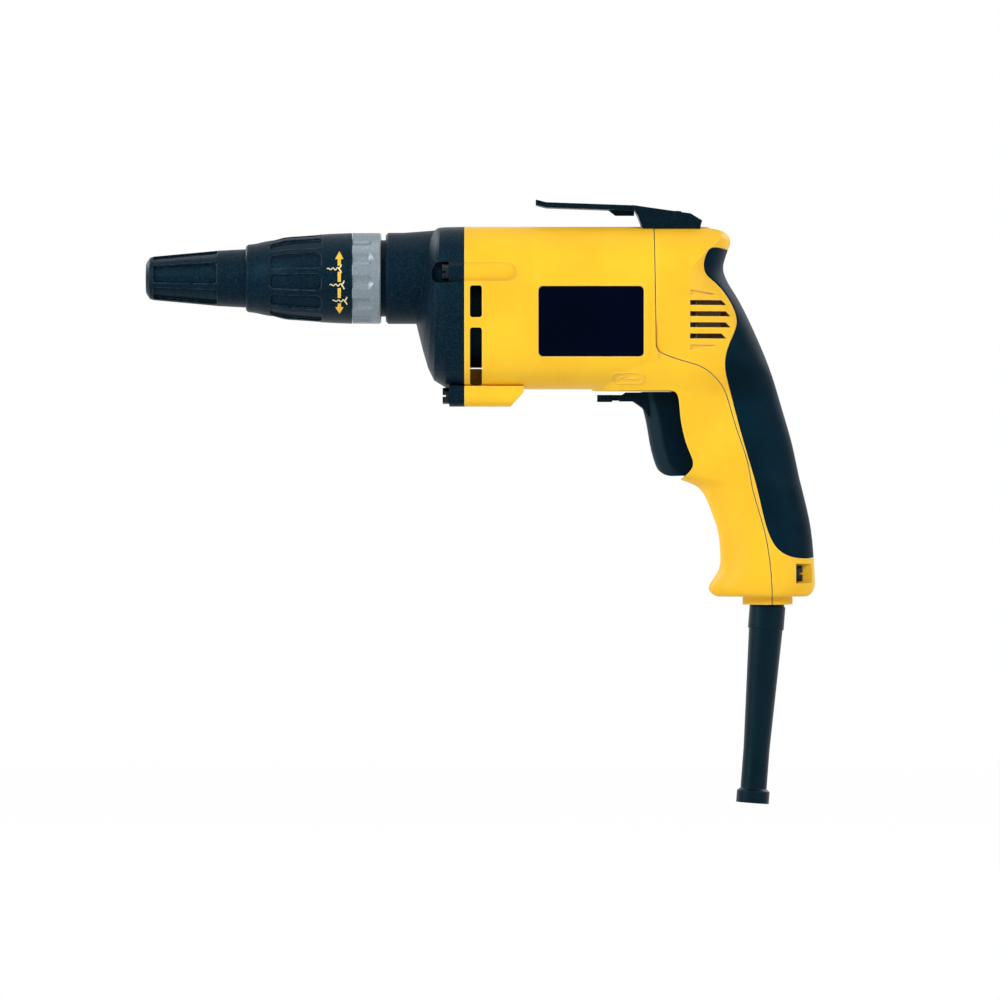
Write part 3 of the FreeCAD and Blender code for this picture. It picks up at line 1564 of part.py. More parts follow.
def trigger():
    top = level(trigger_top_share)
    front = tail_points(trigger_front_shares)
    brow = tail_points(trigger_brow_shares)
    rear = along(trigger_rear_share)
    heel = V(rear, 0, level(trigger_heel_share))
    back = V(rear, 0, top)
    crest = V(front[0].x, 0, top)
    chain = [front[-1], heel, back, crest, front[0]]
    edges = [curve(front)] + [Part.makeLine(a, b) for a, b in zip(chain, chain[1:])]
    pad = side_prism(edges, trigger_half_width)
    rims = [e for e in pad.Edges if e.Curve.TypeId == "Part::GeomBSplineCurve"]
    pad = pad.makeFillet(trigger_fillet, rims)
    visor = side_prism(polygon_edges(brow), trigger_half_width - trigger_brow_inset)
    half = lever_half_width + lever_room()
    groove = block(along(trigger_tip_share) - overrun, rear + overrun, -half, half, lever_low() - lever_gap,
                   top + overrun)
    z = level(trigger_axis_share)
    pocket = rod(rear - trigger_pocket, rear + overrun, trigger_pocket_radius, 0, z)
    plunger = rod(rear - trigger_pocket - overrun, rear + plunger_length, plunger_radius, 0, z)
    return pad.fuse(visor).cut([groove, pocket, trigger_toe(front, heel)]).fuse(plunger)


def trigger_toe(front, heel):
    """What is taken off to round the trigger's lower front corner."""
    toe = front[-1]
    up = (front[-2] - toe).normalize() * trigger_toe_round
    back = (heel - toe).normalize() * trigger_toe_round
    first = toe + up
    last = toe + back
    outside = [last, last - V(0, 0, overrun), V(first.x - overrun, 0, last.z - overrun),
               first - V(overrun, 0, 0), first]
    edges = [Part.Arc(first, toe + (up + back) * trigger_toe_share, last).toShape()]
    edges += [Part.makeLine(a, b) for a, b in zip(outside, outside[1:])]
    return side_prism(edges, trigger_half_width + overrun)


def lever_low():
    return level(switch_top_share) + lever_gap


def lever_room():
    """Side travel of the lever's arm over the front of the trigger."""
    reach = lever_x() - along(trigger_tip_share)
    return reach * math.tan(math.radians(lever_swing)) + lever_gap


def lever_x():
    return along(switch_front_share) + lever_pivot


def trigger_spring():
    rear = along(trigger_rear_share)
    spring = coil(rear - trigger_pocket + seat_gap, along(switch_front_share) + switch_spring_pocket - seat_gap,
                  trigger_spring_radius, trigger_spring_wire, trigger_spring_turns)
    spring.translate(V(0, 0, level(trigger_axis_share)))
    return spring


def switch_body():
    x0 = along(switch_front_share)
    z1 = level(switch_top_share)
    z = level(trigger_axis_share)
    box = block(x0, x0 + switch_length, -switch_half_width, switch_half_width, level(switch_bottom_share), z1)
    pocket = rod(x0 - overrun, x0 + switch_spring_pocket, trigger_pocket_radius, 0, z)
    bore = rod(x0, x0 + switch_length - 2 * overrun, plunger_radius + moving_gap, 0, z)
    pin = post(lever_x(), 0, z1 - lever_pin_length - end_gap, z1 + overrun, lever_pin_radius + running_gap)
    return box.cut([pocket, bore, pin])


def reverse_lever():
    z0 = lever_low()
    z1 = z0 + lever_thickness
    x = lever_x()
    tip = along(lever_tip_share)
    hub = post(x, 0, z0, z1, lever_hub_radius)
    pin = post(x, 0, level(switch_top_share) - lever_pin_length, z0 + seat_gap, lever_pin_radius)
    arm = block(tip + lever_tip_length - seat_gap, x, -lever_half_width, lever_half_width, z0, z1)
    pad = block(tip, tip + lever_tip_length, -lever_tip_half_width, lever_tip_half_width,
                z1 - lever_tip_height, z1)
    lever = fuse_all([hub, pin, arm, pad])
    step = lever_tip_length / lever_rib_count
    for i in range(lever_rib_count):
        x0 = tip + (i + lever_rib_share / 2) * step
        for y0 in (-lever_tip_half_width - overrun, lever_tip_half_width - lever_rib_depth):
            lever = lever.cut(block(x0, x0 + lever_rib_share * step, y0, y0 + lever_rib_depth + overrun,
                                    z0 - lever_tip_height, z1 + overrun))
    return lever


# Foot of the handle

def cord_boot():
    floor = -handle_drop + handle_wall
    dip = boot_top_radius * math.sin(math.radians(boot_tilt))
    below = -handle_drop - foot_ring_drop - seat_gap - dip
    flange = post(foot_x, 0, floor, floor + boot_flange, boot_flange_radius)
    neck = post(foot_x, 0, below - overrun, floor + overrun, boot_hole_radius - moving_gap)
    waist = boot_waist_share * boot_length
    end = boot_length - boot_end_collar
    profile = [(0, 0), (0, boot_top_radius), (boot_ring_drop, boot_top_radius),
               (boot_ring_drop, boot_top_radius - boot_ring_depth),
               (boot_ring_drop + boot_ring_width, boot_top_radius - boot_ring_depth),
               (waist, boot_waist_radius), (end - boot_end_slope, boot_waist_radius), (end, boot_end_radius),
               (boot_length, boot_end_radius), (boot_length, 0)]
    sleeve = tilted(turned(profile), below)
    bore = tilted(rod(-overrun, boot_length + overrun, boot_bore), below)
    upper = post(foot_x, 0, below - overrun, floor + boot_flange + overrun, boot_bore)
    joint = Part.makeSphere(boot_bore, V(foot_x, 0, below))
    return fuse_all([flange, neck, sleeve]).cut([bore, upper, joint])


def tilted(shape, z):
    """A shape along +X turned to hang from the foot ring, leaning forward."""
    shape.rotate(V(0, 0, 0), AXIS_Y, 90 + boot_tilt)
    shape.translate(V(foot_x, 0, z))
    return shape


def cord_clamp():
    face = clamp_face()
    z = level(clamp_level_share)
    half = clamp_post_y + clamp_post_radius
    bar = block(face, face + clamp_thickness, -half, half, z - clamp_half_height, z + clamp_half_height)
    holes = [rod(face - overrun, face + clamp_thickness + overrun, clamp_screw_radius + seat_gap, y, z)
             for y in (clamp_post_y, -clamp_post_y)]
    return bar.cut(holes)


def cord_clamp_screws():
    seat = clamp_face() + clamp_thickness
    made = []
    for y in (clamp_post_y, -clamp_post_y):
        one = screw(0, y, level(clamp_level_share), clamp_thickness + clamp_screw_bite, clamp_screw_radius,
                    clamp_head_radius, clamp_head_length)
        one.rotate(V(0, 0, 0), AXIS_Z, 180)
        one.translate(V(seat, 0, 0))
        made.append(one)
    return Part.makeCompound(made)


def suppressor_capacitor():
    z = level(capacitor_level_share)
    x = along(capacitor_front_share)
    return block(x, x + capacitor_length, -capacitor_half_width, capacitor_half_width, z, z + capacitor_height)


def build():
    whole_tail = tail(0)
    grip_core = tail(grip_thickness)
    tail_room = tail(handle_wall)
    return {
        "nose_tip": nose_tip(),
        "depth_collar": depth_collar(),
        "detent_ring": detent_ring(),
        "guide_sleeve": guide_sleeve(),
        "nose_o_ring": nose_o_ring(),
        "driver_bit": driver_bit(),
        "bit_holder": bit_holder(),
        "bit_magnet": bit_magnet(),
        "bit_clip": bit_clip(),
        "spindle": spindle(),
        "spindle_bush": spindle_bush(),
        "spindle_seal": spindle_seal(),
        "spindle_bearing": spindle_bearing(),
        "spindle_circlip": spindle_circlip(),
        "clutch_spring": clutch_spring(),
        "drive_gear": drive_gear(),
        "gear_pin": gear_pin(),
        "gear_washer": gear_washer(),
        "gear_case": gear_case(),
        "gear_case_screws": gear_case_screws(),
        "bearing_plate": bearing_plate(),
        "armature_shaft": armature_shaft(),
        "armature_core": armature_core(),
        "armature_windings": armature_windings(),
        "commutator": commutator(),
        "cooling_fan": cooling_fan(),
        "front_bearing": front_bearing(),
        "rear_bearing": rear_bearing(),
        "rear_bearing_cup": rear_bearing_cup(),
        "rear_bearing_bracket": rear_bearing_bracket(),
        "air_baffle": air_baffle(),
        "field_core": field_core(),
        "field_coils": field_coils(),
        "brush_holders": brush_holders(),
        "brushes": brushes(),
        "brush_springs": brush_springs(),
        "motor_housing": motor_housing(whole_tail, grip_core, tail_room),
        "handle_cover": handle_cover(whole_tail, tail_room, grip_core),
        "rear_grip": rear_grip(whole_tail, grip_core),
        "handle_cover_screws": handle_cover_screws(),
        "side_labels": side_labels(),
        "belt_hook": belt_hook(),
        "belt_hook_screw": belt_hook_screw(),
        "trigger": trigger(),
        "trigger_spring": trigger_spring(),
        "switch_body": switch_body(),
        "reverse_lever": reverse_lever(),
        "cord_boot": cord_boot(),
        "cord_clamp": cord_clamp(),
        "cord_clamp_screws": cord_clamp_screws(),
        "suppressor_capacitor": suppressor_capacitor(),
    }


os.makedirs("parts", exist_ok=True)
for name, shape in build().items():
    shape.exportStep("parts/%s.step" % name)
    print("%-22s valid %s solids %d volume %.0f" % (name, shape.isValid(), len(shape.Solids), shape.Volume))
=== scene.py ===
"""Finishes, printed marks, springs and studio for a corded drywall screwdriver."""

import math

import bmesh
import bpy
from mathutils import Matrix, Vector
from mathutils.bvhtree import BVHTree


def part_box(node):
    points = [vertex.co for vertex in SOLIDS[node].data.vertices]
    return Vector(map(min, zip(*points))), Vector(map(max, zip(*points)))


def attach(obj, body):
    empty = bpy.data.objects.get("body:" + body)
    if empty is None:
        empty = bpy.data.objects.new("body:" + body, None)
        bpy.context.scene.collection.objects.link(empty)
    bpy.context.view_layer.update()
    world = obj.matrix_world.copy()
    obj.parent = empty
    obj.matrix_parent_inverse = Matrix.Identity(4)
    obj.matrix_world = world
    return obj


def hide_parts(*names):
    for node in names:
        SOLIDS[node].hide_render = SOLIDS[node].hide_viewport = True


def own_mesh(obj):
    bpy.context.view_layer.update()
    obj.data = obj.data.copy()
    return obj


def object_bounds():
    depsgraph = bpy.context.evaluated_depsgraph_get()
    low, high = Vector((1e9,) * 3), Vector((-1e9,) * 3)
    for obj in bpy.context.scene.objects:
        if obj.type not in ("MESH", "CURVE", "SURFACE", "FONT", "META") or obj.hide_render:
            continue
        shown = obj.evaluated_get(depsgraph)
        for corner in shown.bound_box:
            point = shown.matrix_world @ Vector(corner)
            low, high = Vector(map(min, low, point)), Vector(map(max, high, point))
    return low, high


bl_info = {
    "name": "Drywall Screwdriver Finishes",
    "version": (1, 0, 0),
    "blender": (4, 5, 0),
    "location": "View3D > Sidebar > Screwdriver",
    "description": "Moulded, rubber and metal finishes, depth marks, springs and a studio",
    "category": "Object",
}

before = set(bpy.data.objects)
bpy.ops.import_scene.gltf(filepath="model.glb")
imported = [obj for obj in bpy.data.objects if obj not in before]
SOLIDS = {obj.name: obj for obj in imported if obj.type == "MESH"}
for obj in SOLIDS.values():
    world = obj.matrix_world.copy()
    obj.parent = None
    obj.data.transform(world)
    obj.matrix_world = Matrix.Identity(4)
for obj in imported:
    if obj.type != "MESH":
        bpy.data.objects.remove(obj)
CAD_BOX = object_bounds()


def colour_prop(name, description, default):
    return bpy.props.FloatVectorProperty(
        name=name, description=description, subtype="COLOR", size=3, min=0, max=1, default=default)


def length_prop(name, description, default):
    return bpy.props.FloatProperty(
        name=name, description=description, unit="LENGTH", min=0, default=default, precision=5)


def number_prop(name, description, default):
    return bpy.props.FloatProperty(name=name, description=description, default=default, precision=4)


class CasingFinish(bpy.types.PropertyGroup):
    """Colours and grain of the moulded pieces."""
    yellow: colour_prop("Casing yellow", "Nylon of the motor body and the handle", (0.96, 0.565, 0.02))
    yellow_deep: colour_prop("Casing shade", "Warmer patches in the yellow", (0.91, 0.5, 0.016))
    # Casing rub: rubbed wear and a painted highlight on the edges
    yellow_wear_and_highlight: colour_prop("Casing rub", "Rubbed edges of the yellow", (1.0, 0.76, 0.2))
    # Casing edge: painted highlight, a paler yellow laid along every moulded edge
    yellow_edge_highlight: colour_prop("Casing edge", "Pale edges of the yellow", (1.0, 0.8, 0.26))
    black: colour_prop("Moulded black", "Nose, collar, gear case, trigger and hook",
                       (0.0008, 0.0078, 0.0185))
    black_fleck: colour_prop("Black fleck", "Specks in the grain of the black pieces",
                             (0.006, 0.0165, 0.0275))
    black_sheen: colour_prop("Black sheen", "Tint of what the black pieces reflect", (0.3, 0.78, 1.0))
    # Black rub: rubbed wear and a painted highlight on the edges
    black_wear_and_highlight: colour_prop("Black rub", "Rubbed edges of the black pieces", (0.09, 0.125, 0.15))
    rubber: colour_prop("Rubber", "Grip skin and cord boot", (0.0016, 0.0125, 0.0235))
    rubber_rub: colour_prop("Rubber rub", "Rubbed edges of the rubber", (0.016, 0.024, 0.03))
    # Trigger face colour: painted highlight on the faces toward the nose
    pad: colour_prop("Trigger pad", "Stippled faces of the trigger", (0.014, 0.03, 0.043))
    pad_rub: colour_prop("Trigger rub", "Rubbed edges of the trigger", (0.02, 0.03, 0.038))
    ring: colour_prop("Ring grey", "Speckled ring behind the collar", (0.215, 0.262, 0.295))
    label: colour_prop("Label black", "Bare plates on both sides", (0.0002, 0.0006, 0.0085))
    label_rub: colour_prop("Label rub", "Rubbed edges of the bare plates", (0.02, 0.02, 0.03))
    grain: length_prop("Grain size", "Width of one pebble of the moulded grain", 0.00045)
    edge: length_prop("Edge radius", "Roundness of the moulded edges", 0.0005)
    nose_edge: length_prop("Nose edge radius", "Roundness of the edges of nose and collar", 0.0008)


class DepthMarkSizes(bpy.types.PropertyGroup):
    """Sizes of the print on the depth collar."""
    ink: colour_prop("Ink", "Yellow of the depth marks", (0.86, 0.55, 0.06))
    ink_pale: colour_prop("Pale ink", "Cream of the small screws", (0.85, 0.72, 0.33))
    place: length_prop("Place", "Distance of the arrow's line from the nose", 0.0884)
    top: number_prop("Upper end", "Angle of the upper arrow point, in degrees", 36.0)
    bottom: number_prop("Lower end", "Angle of the lower arrow point, in degrees", -52.5)
    shaft: length_prop("Shaft width", "Width of the arrow's shaft", 0.0015)
    head: length_prop("Head width", "Width of an arrow head", 0.0038)
    head_length: length_prop("Head length", "Length of an arrow head", 0.0043)
    screw: length_prop("Screw length", "Length of one small screw", 0.0066)
    line: length_prop("Line width", "Width of the lines of the small screws", 0.0005)
    film: length_prop("Film", "Thickness of the print", 0.00006)


class RotationMarkSizes(bpy.types.PropertyGroup):
    """Sizes of the raised direction mark above the reversing lever."""
    centre_x: length_prop("Place", "Distance of the mark from the nose", 0.2194)
    drop: length_prop("Drop", "Distance of the mark below the spindle axis", 0.0456)
    width: length_prop("Width", "Length of the oval", 0.0146)
    height: length_prop("Height", "Height of the oval", 0.0047)
    line: length_prop("Line", "Width of the raised line", 0.0005)
    rise: length_prop("Rise", "How far the line stands proud", 0.00034)


class SpringSizes(bpy.types.PropertyGroup):
    """Wire and turns of the two springs that close up in use."""
    clutch_wire: length_prop("Clutch wire", "Radius of the clutch spring's wire", 0.0005)
    clutch_turns: number_prop("Clutch turns", "Turns of the clutch spring", 2.5)
    trigger_wire: length_prop("Trigger wire", "Radius of the trigger spring's wire", 0.00045)
    trigger_turns: number_prop("Trigger turns", "Turns of the trigger spring", 7.0)


class StudioSetup(bpy.types.PropertyGroup):
    """Camera and light."""
    distance: length_prop("Camera distance", "From the object's middle plane", 5.0)
    span: length_prop("Picture width", "Width of the picture at the middle plane", 0.456)
    look_x: length_prop("Aim along", "Picture centre along the spindle", 0.1614)
    look_drop: length_prop("Aim down", "Picture centre below the spindle axis", 0.10105)
    key: number_prop("Key light", "Power of the large lights beside the nose, in watts", 18.5)
    second: number_prop("Second light", "Power of the large lights beside the handle, in watts", 16.0)
    top: number_prop("Top light", "Power of the overhead light, in watts", 2.5)
    glint: number_prop("Glint light", "Power of the small light beside the nose, in watts", 4.0)
    room: number_prop("Room light", "Strength of the even light around", 0.1)
    floor_tone: number_prop("Floor tone", "How far the floor keeps shadows", 0.05)


# Node helpers

VALUE = "NodeSocketFloat"
NORMAL = "NodeSocketVector"


def add(tree, kind, inputs=None, **settings):
    made = tree.nodes.new(kind)
    for key, value in settings.items():
        setattr(made, key, value)
    for key, value in (inputs or {}).items():
        if isinstance(value, bpy.types.NodeSocket):
            tree.links.new(value, made.inputs[key])
        else:
            made.inputs[key].default_value = value
    return made


def feed(tree, sockets, **sources):
    for label, source in sources.items():
        tree.links.new(source, sockets[label.replace("_", " ")])


def maths(tree, operation, first, second, clamp=False):
    values = {0: first, 1: second}
    return add(tree, "ShaderNodeMath", values, operation=operation, use_clamp=clamp).outputs[0]


def times(tree, first, second):
    return maths(tree, "MULTIPLY", first, second)


def centred(tree, value):
    """A noise value, moved to lie about zero."""
    return maths(tree, "SUBTRACT", value, 0.5)


def dot(tree, first, second):
    values = {0: first, 1: second}
    return add(tree, "ShaderNodeVectorMath", values, operation="DOT_PRODUCT").outputs["Value"]


def spread_to(tree, value, low, high, to_low=0.0, to_high=1.0):
    values = {0: value, 1: low, 2: high, 3: to_low, 4: to_high}
    return add(tree, "ShaderNodeMapRange", values).outputs[0]


def noise(tree, place, scale, detail, roughness=0.5):
    values = {"Vector": place, "Scale": scale, "Detail": detail, "Roughness": roughness}
    return add(tree, "ShaderNodeTexNoise", values).outputs[0]


def mixed(tree, factor, first, second):
    """Colour mix; the Mix node's colour sockets are 6 and 7 and its colour result is output 2."""
    node = add(tree, "ShaderNodeMix", {0: factor, 6: first, 7: second}, data_type="RGBA")
    return node.outputs[2]


def bumped(tree, height, strength, distance, normal):
    values = {"Strength": strength, "Distance": distance, "Height": height, "Normal": normal}
    return add(tree, "ShaderNodeBump", values).outputs[0]


def place_coords(tree):
    return add(tree, "ShaderNodeTexCoord").outputs["Object"]


def rgba(colour):
    return (*colour[:3], 1.0)


def shaded(colour, share):
    return tuple(min(1.0, share * c) for c in colour)


# Effects that several finishes share

def start_group(name, takes, gives):
    tree = bpy.data.node_groups.new(name, "ShaderNodeTree")
    for label, value in takes.items():
        socket = tree.interface.new_socket(label, in_out="INPUT", socket_type=VALUE)
        socket.default_value = value
    for label, kind in gives.items():
        tree.interface.new_socket(label, in_out="OUTPUT", socket_type=kind)
    return tree, add(tree, "NodeGroupInput").outputs, add(tree, "NodeGroupOutput").inputs


def grain_group():
    """Pebbled mould grain, with slow patches of tone and gloss and small pale specks."""
    dust_density, speck_density, patch_scale = 1.7, 0.5, 34.0
    pebble_depth, dust_depth, dust_gloss = -0.7, 0.6, 0.6
    tree, takes, gives = start_group(
        "Moulded grain", {"Size": 0.0005, "Roughness": 0.5, "Spread": 0.1},
        {"Height": VALUE, "Roughness": VALUE, "Patches": VALUE, "Flecks": VALUE})
    place = place_coords(tree)
    density = maths(tree, "DIVIDE", 1.0, takes["Size"])
    pebbles = add(tree, "ShaderNodeTexVoronoi", {"Vector": place, "Scale": density, "Smoothness": 0.6},
                  feature="SMOOTH_F1").outputs["Distance"]
    dust = noise(tree, place, times(tree, density, dust_density), 2.0)
    specks = noise(tree, place, times(tree, density, speck_density), 1.0)
    slow = noise(tree, place, patch_scale, 5.0, 0.6)
    height = maths(tree, "ADD", times(tree, pebbles, pebble_depth), times(tree, dust, dust_depth))
    swing = maths(tree, "ADD", centred(tree, slow), times(tree, centred(tree, dust), dust_gloss))
    rough = maths(tree, "ADD", takes["Roughness"], times(tree, swing, takes["Spread"]), clamp=True)
    feed(tree, gives, Height=height, Roughness=rough, Patches=spread_to(tree, slow, 0.38, 0.66),
         Flecks=spread_to(tree, specks, 0.42, 0.72))
    return tree


def edge_group():
    """Rounded edges, a mask of the edges, and a broken mask of where handling rubs them, which also
    carries painted edge highlights.
    """
    bevel_samples, break_scale = 6, 420.0
    tree, takes, gives = start_group("Handled edge", {"Radius": 0.0005},
                                     {"Normal": NORMAL, "Rub": VALUE, "Rim": VALUE})
    rounded = add(tree, "ShaderNodeBevel", {"Radius": takes["Radius"]}, samples=bevel_samples).outputs[0]
    flat = add(tree, "ShaderNodeNewGeometry").outputs["Normal"]
    bend = maths(tree, "SUBTRACT", 1.0, dot(tree, rounded, flat))
    broken = noise(tree, place_coords(tree), break_scale, 4.0)
    rub = times(tree, spread_to(tree, bend, 0.02, 0.25), spread_to(tree, broken, 0.35, 0.7))
    feed(tree, gives, Normal=rounded, Rub=rub, Rim=spread_to(tree, bend, 0.01, 0.1))
    return tree


def speckle_group():
    """Pale and dark flecks through a glass-filled moulding."""
    tree, takes, gives = start_group("Fleck", {"Size": 0.0006}, {"Pale": VALUE, "Dark": VALUE})
    density = maths(tree, "DIVIDE", 1.0, takes["Size"])
    cells = add(tree, "ShaderNodeTexVoronoi", {"Vector": place_coords(tree), "Scale": density}).outputs
    chance = add(tree, "ShaderNodeSeparateColor", {0: cells["Color"]}).outputs[0]
    near = spread_to(tree, cells["Distance"], 0.55, 0.25)
    feed(tree, gives, Pale=times(tree, spread_to(tree, chance, 0.68, 0.95), near),
         Dark=times(tree, spread_to(tree, chance, 0.32, 0.05), near))
    return tree


def turning_group():
    """Fine rings left by turning or grinding round the spindle."""
    cross_scale, gloss_swing = 40.0, 0.3
    tree, takes, gives = start_group("Turned rings", {"Pitch": 0.0003, "Roughness": 0.3},
                                     {"Height": VALUE, "Roughness": VALUE})
    parts = add(tree, "ShaderNodeSeparateXYZ", {0: place_coords(tree)}).outputs
    stretched = {0: maths(tree, "DIVIDE", parts[0], takes["Pitch"]),
                 1: times(tree, parts[1], cross_scale), 2: times(tree, parts[2], cross_scale)}
    rings = noise(tree, add(tree, "ShaderNodeCombineXYZ", stretched).outputs[0], 1.0, 3.0)
    swing = times(tree, centred(tree, rings), gloss_swing)
    feed(tree, gives, Height=rings, Roughness=maths(tree, "ADD", takes["Roughness"], swing, clamp=True))
    return tree


GROUP_MAKERS = {"Moulded grain": grain_group, "Handled edge": edge_group, "Fleck": speckle_group,
                "Turned rings": turning_group}


def place_group(tree, name, values):
    node = tree.nodes.new("ShaderNodeGroup")
    node.node_tree = bpy.data.node_groups.get(name) or GROUP_MAKERS[name]()
    for label, value in values.items():
        node.inputs[label].default_value = value
    return node.outputs


# Finishes

METAL_EDGE = 0.0003


def bare_material(name, plain):
    """New material whose shader has the given plain values."""
    material = bpy.data.materials.new(name)
    material.use_nodes = True
    tree = material.node_tree
    shader = tree.nodes["Principled BSDF"].inputs
    for label, value in plain.items():
        shader[label].default_value = value
    return material, tree, shader


def moulded(name, colour, deep, rub, plain, *, grain, depth, roughness, spread, edge, wear_and_highlight_share=0.35,
            outline=None, fleck=None):
    """A moulded plastic or rubber: pebbled grain, slow patches, rounded edges, and rubbed edges that are
    partly wear and partly painted highlight.

    The fleck is the colour of the pale specks. The outline is the colour and share of pale edges, a
    painted highlight along every edge.
    """
    material, tree, shader = bare_material(name, plain)
    skin = place_group(tree, "Moulded grain", {"Size": grain, "Roughness": roughness, "Spread": spread})
    rim = place_group(tree, "Handled edge", {"Radius": edge})
    body = mixed(tree, skin["Patches"], rgba(colour), rgba(deep))
    if fleck:
        body = mixed(tree, skin["Flecks"], body, rgba(fleck))
    if outline:
        # Painted highlight: the outline colour mixed in along every edge
        body = mixed(tree, times(tree, rim["Rim"], outline[1]), body, rgba(outline[0]))
    # Rubbed edges: wear, and painted highlight where the rub colour is pale
    body = mixed(tree, times(tree, rim["Rub"], wear_and_highlight_share), body, rgba(rub))
    normal = bumped(tree, skin["Height"], depth, grain, rim["Normal"])
    feed(tree, shader, Base_Color=body, Roughness=skin["Roughness"], Normal=normal)
    return material


def metal(name, colour, dark, *, pitch, roughness, depth):
    """Turned or ground metal with fine rings and rounded edges."""
    material, tree, shader = bare_material(name, {"Metallic": 1.0})
    rings = place_group(tree, "Turned rings", {"Pitch": pitch, "Roughness": roughness})
    rim = place_group(tree, "Handled edge", {"Radius": METAL_EDGE})
    body = mixed(tree, spread_to(tree, rings["Height"], 0.35, 0.7), rgba(dark), rgba(colour))
    normal = bumped(tree, rings["Height"], depth, pitch, rim["Normal"])
    feed(tree, shader, Base_Color=body, Roughness=rings["Roughness"], Normal=normal)
    return material


def finish_nodes(material, *names):
    """Give carried-over solids their finish."""
    for name in names:
        slots = SOLIDS[name].data.materials
        slots.clear()
        slots.append(material)


def casing_look():
    return bpy.context.scene.screwdriver_casing


def gloss(level):
    return {"Specular IOR Level": level}


def cool_gloss(level):
    """Gloss of the black pieces, which reflect a cool tint."""
    return {"Specular IOR Level": level, "Specular Tint": rgba(casing_look().black_sheen)}


def yellow_material():
    look = casing_look()
    # Pale outline along the edges is painted highlight; the rubbed edges are partly wear and partly
    # painted highlight
    return moulded("casing_yellow", look.yellow, look.yellow_deep, look.yellow_wear_and_highlight, gloss(0.25),
                   grain=look.grain, depth=0.1, roughness=0.5, spread=0.12, edge=1.5 * look.edge,
                   wear_and_highlight_share=0.6, outline=(look.yellow_edge_highlight, 0.6))


# A shade below 1 gives a darker copy of the moulded black: painted shade
def black_material(name, *, roughness, depth, edge=None, sheen=0.1, wear_and_highlight_share=0.4, shade=1.0):
    look = casing_look()
    tone = shaded(look.black, shade)
    return moulded(name, tone, shaded(tone, 0.7), look.black_wear_and_highlight, cool_gloss(sheen), grain=look.grain,
                   depth=depth, roughness=roughness, spread=0.16, edge=edge or look.edge,
                   wear_and_highlight_share=wear_and_highlight_share, fleck=shaded(look.black_fleck, shade))


def ring_material():
    """Grey with pale and dark flecks, and paler edges that are partly wear and partly painted highlight.
    """
    look = casing_look()
    fleck_size, wear_and_highlight_share, depth = 0.0005, 0.9, 0.2
    material, tree, shader = bare_material("ring_fleck", {**gloss(0.2), "Metallic": 0.5})
    skin = place_group(tree, "Moulded grain", {"Size": look.grain, "Roughness": 0.36, "Spread": 0.16})
    fleck = place_group(tree, "Fleck", {"Size": fleck_size})
    rim = place_group(tree, "Handled edge", {"Radius": look.edge})
    pale = rgba(shaded(look.ring, 1.5))
    body = mixed(tree, fleck["Pale"], rgba(look.ring), pale)
    body = mixed(tree, fleck["Dark"], body, rgba(shaded(look.ring, 0.7)))
    # Paler edges: wear and painted highlight on the flute ends and rims
    body = mixed(tree, times(tree, rim["Rub"], wear_and_highlight_share), body, pale)
    normal = bumped(tree, skin["Height"], depth, look.grain, rim["Normal"])
    feed(tree, shader, Base_Color=body, Roughness=skin["Roughness"], Normal=normal)
    return material


def trigger_material():
    """Darker black, a painted shade, with a paler stippled patch on the faces that meet the finger; the
    paler colour is a painted highlight on the faces toward the nose.
    """
    look = casing_look()
    to_finger, wear_and_highlight_share, depth = (-1, 0, 0), 0.3, 0.3
    material, tree, shader = bare_material("trigger_black", cool_gloss(0.09))
    skin = place_group(tree, "Moulded grain", {"Size": look.grain, "Roughness": 0.48, "Spread": 0.16})
    rim = place_group(tree, "Handled edge", {"Radius": look.edge})
    # Faces toward the nose get a paler colour: painted highlight, broken by stipple
    facing = dot(tree, add(tree, "ShaderNodeTexCoord").outputs["Normal"], to_finger)
    stipple = spread_to(tree, skin["Height"], -0.1, 0.25, 0.5, 1.0)
    pad = times(tree, spread_to(tree, facing, 0.05, 0.25), stipple)
    # The trigger's black is a darker copy of the moulded black: painted shade
    body = mixed(tree, skin["Patches"], rgba(shaded(look.black, 0.65)), rgba(shaded(look.black, 0.5)))
    body = mixed(tree, pad, body, rgba(look.pad))
    body = mixed(tree, times(tree, rim["Rub"], wear_and_highlight_share), body, rgba(look.pad_rub))
    normal = bumped(tree, skin["Height"], depth, look.grain, rim["Normal"])
    feed(tree, shader, Base_Color=body, Roughness=skin["Roughness"], Normal=normal)
    return material


class SCREWDRIVER_OT_casing(bpy.types.Operator):
    """Yellow nylon for the motor body and the handle cover"""
    bl_idname = "screwdriver.casing"
    bl_label = "Casing"

    def execute(self, context):
        finish_nodes(yellow_material(), "motor_housing", "handle_cover")
        return {"FINISHED"}


class SCREWDRIVER_OT_nose(bpy.types.Operator):
    """Black nose and collar, and the speckled ring behind them"""
    bl_idname = "screwdriver.nose"
    bl_label = "Nose, collar and ring"

    def execute(self, context):
        # Full share of pale rubbed edges on nose and collar: painted edge highlight, partly wear
        black = black_material("nose_black", roughness=0.38, depth=0.3, edge=casing_look().nose_edge,
                               sheen=0.12, wear_and_highlight_share=1.0)
        finish_nodes(black, "nose_tip", "depth_collar", "guide_sleeve")
        finish_nodes(ring_material(), "detent_ring")
        return {"FINISHED"}


class SCREWDRIVER_OT_gear_case(bpy.types.Operator):
    """Black gear case"""
    bl_idname = "screwdriver.gear_case"
    bl_label = "Gear case"

    def execute(self, context):
        finish_nodes(black_material("case_black", roughness=0.42, depth=0.3), "gear_case")
        return {"FINISHED"}


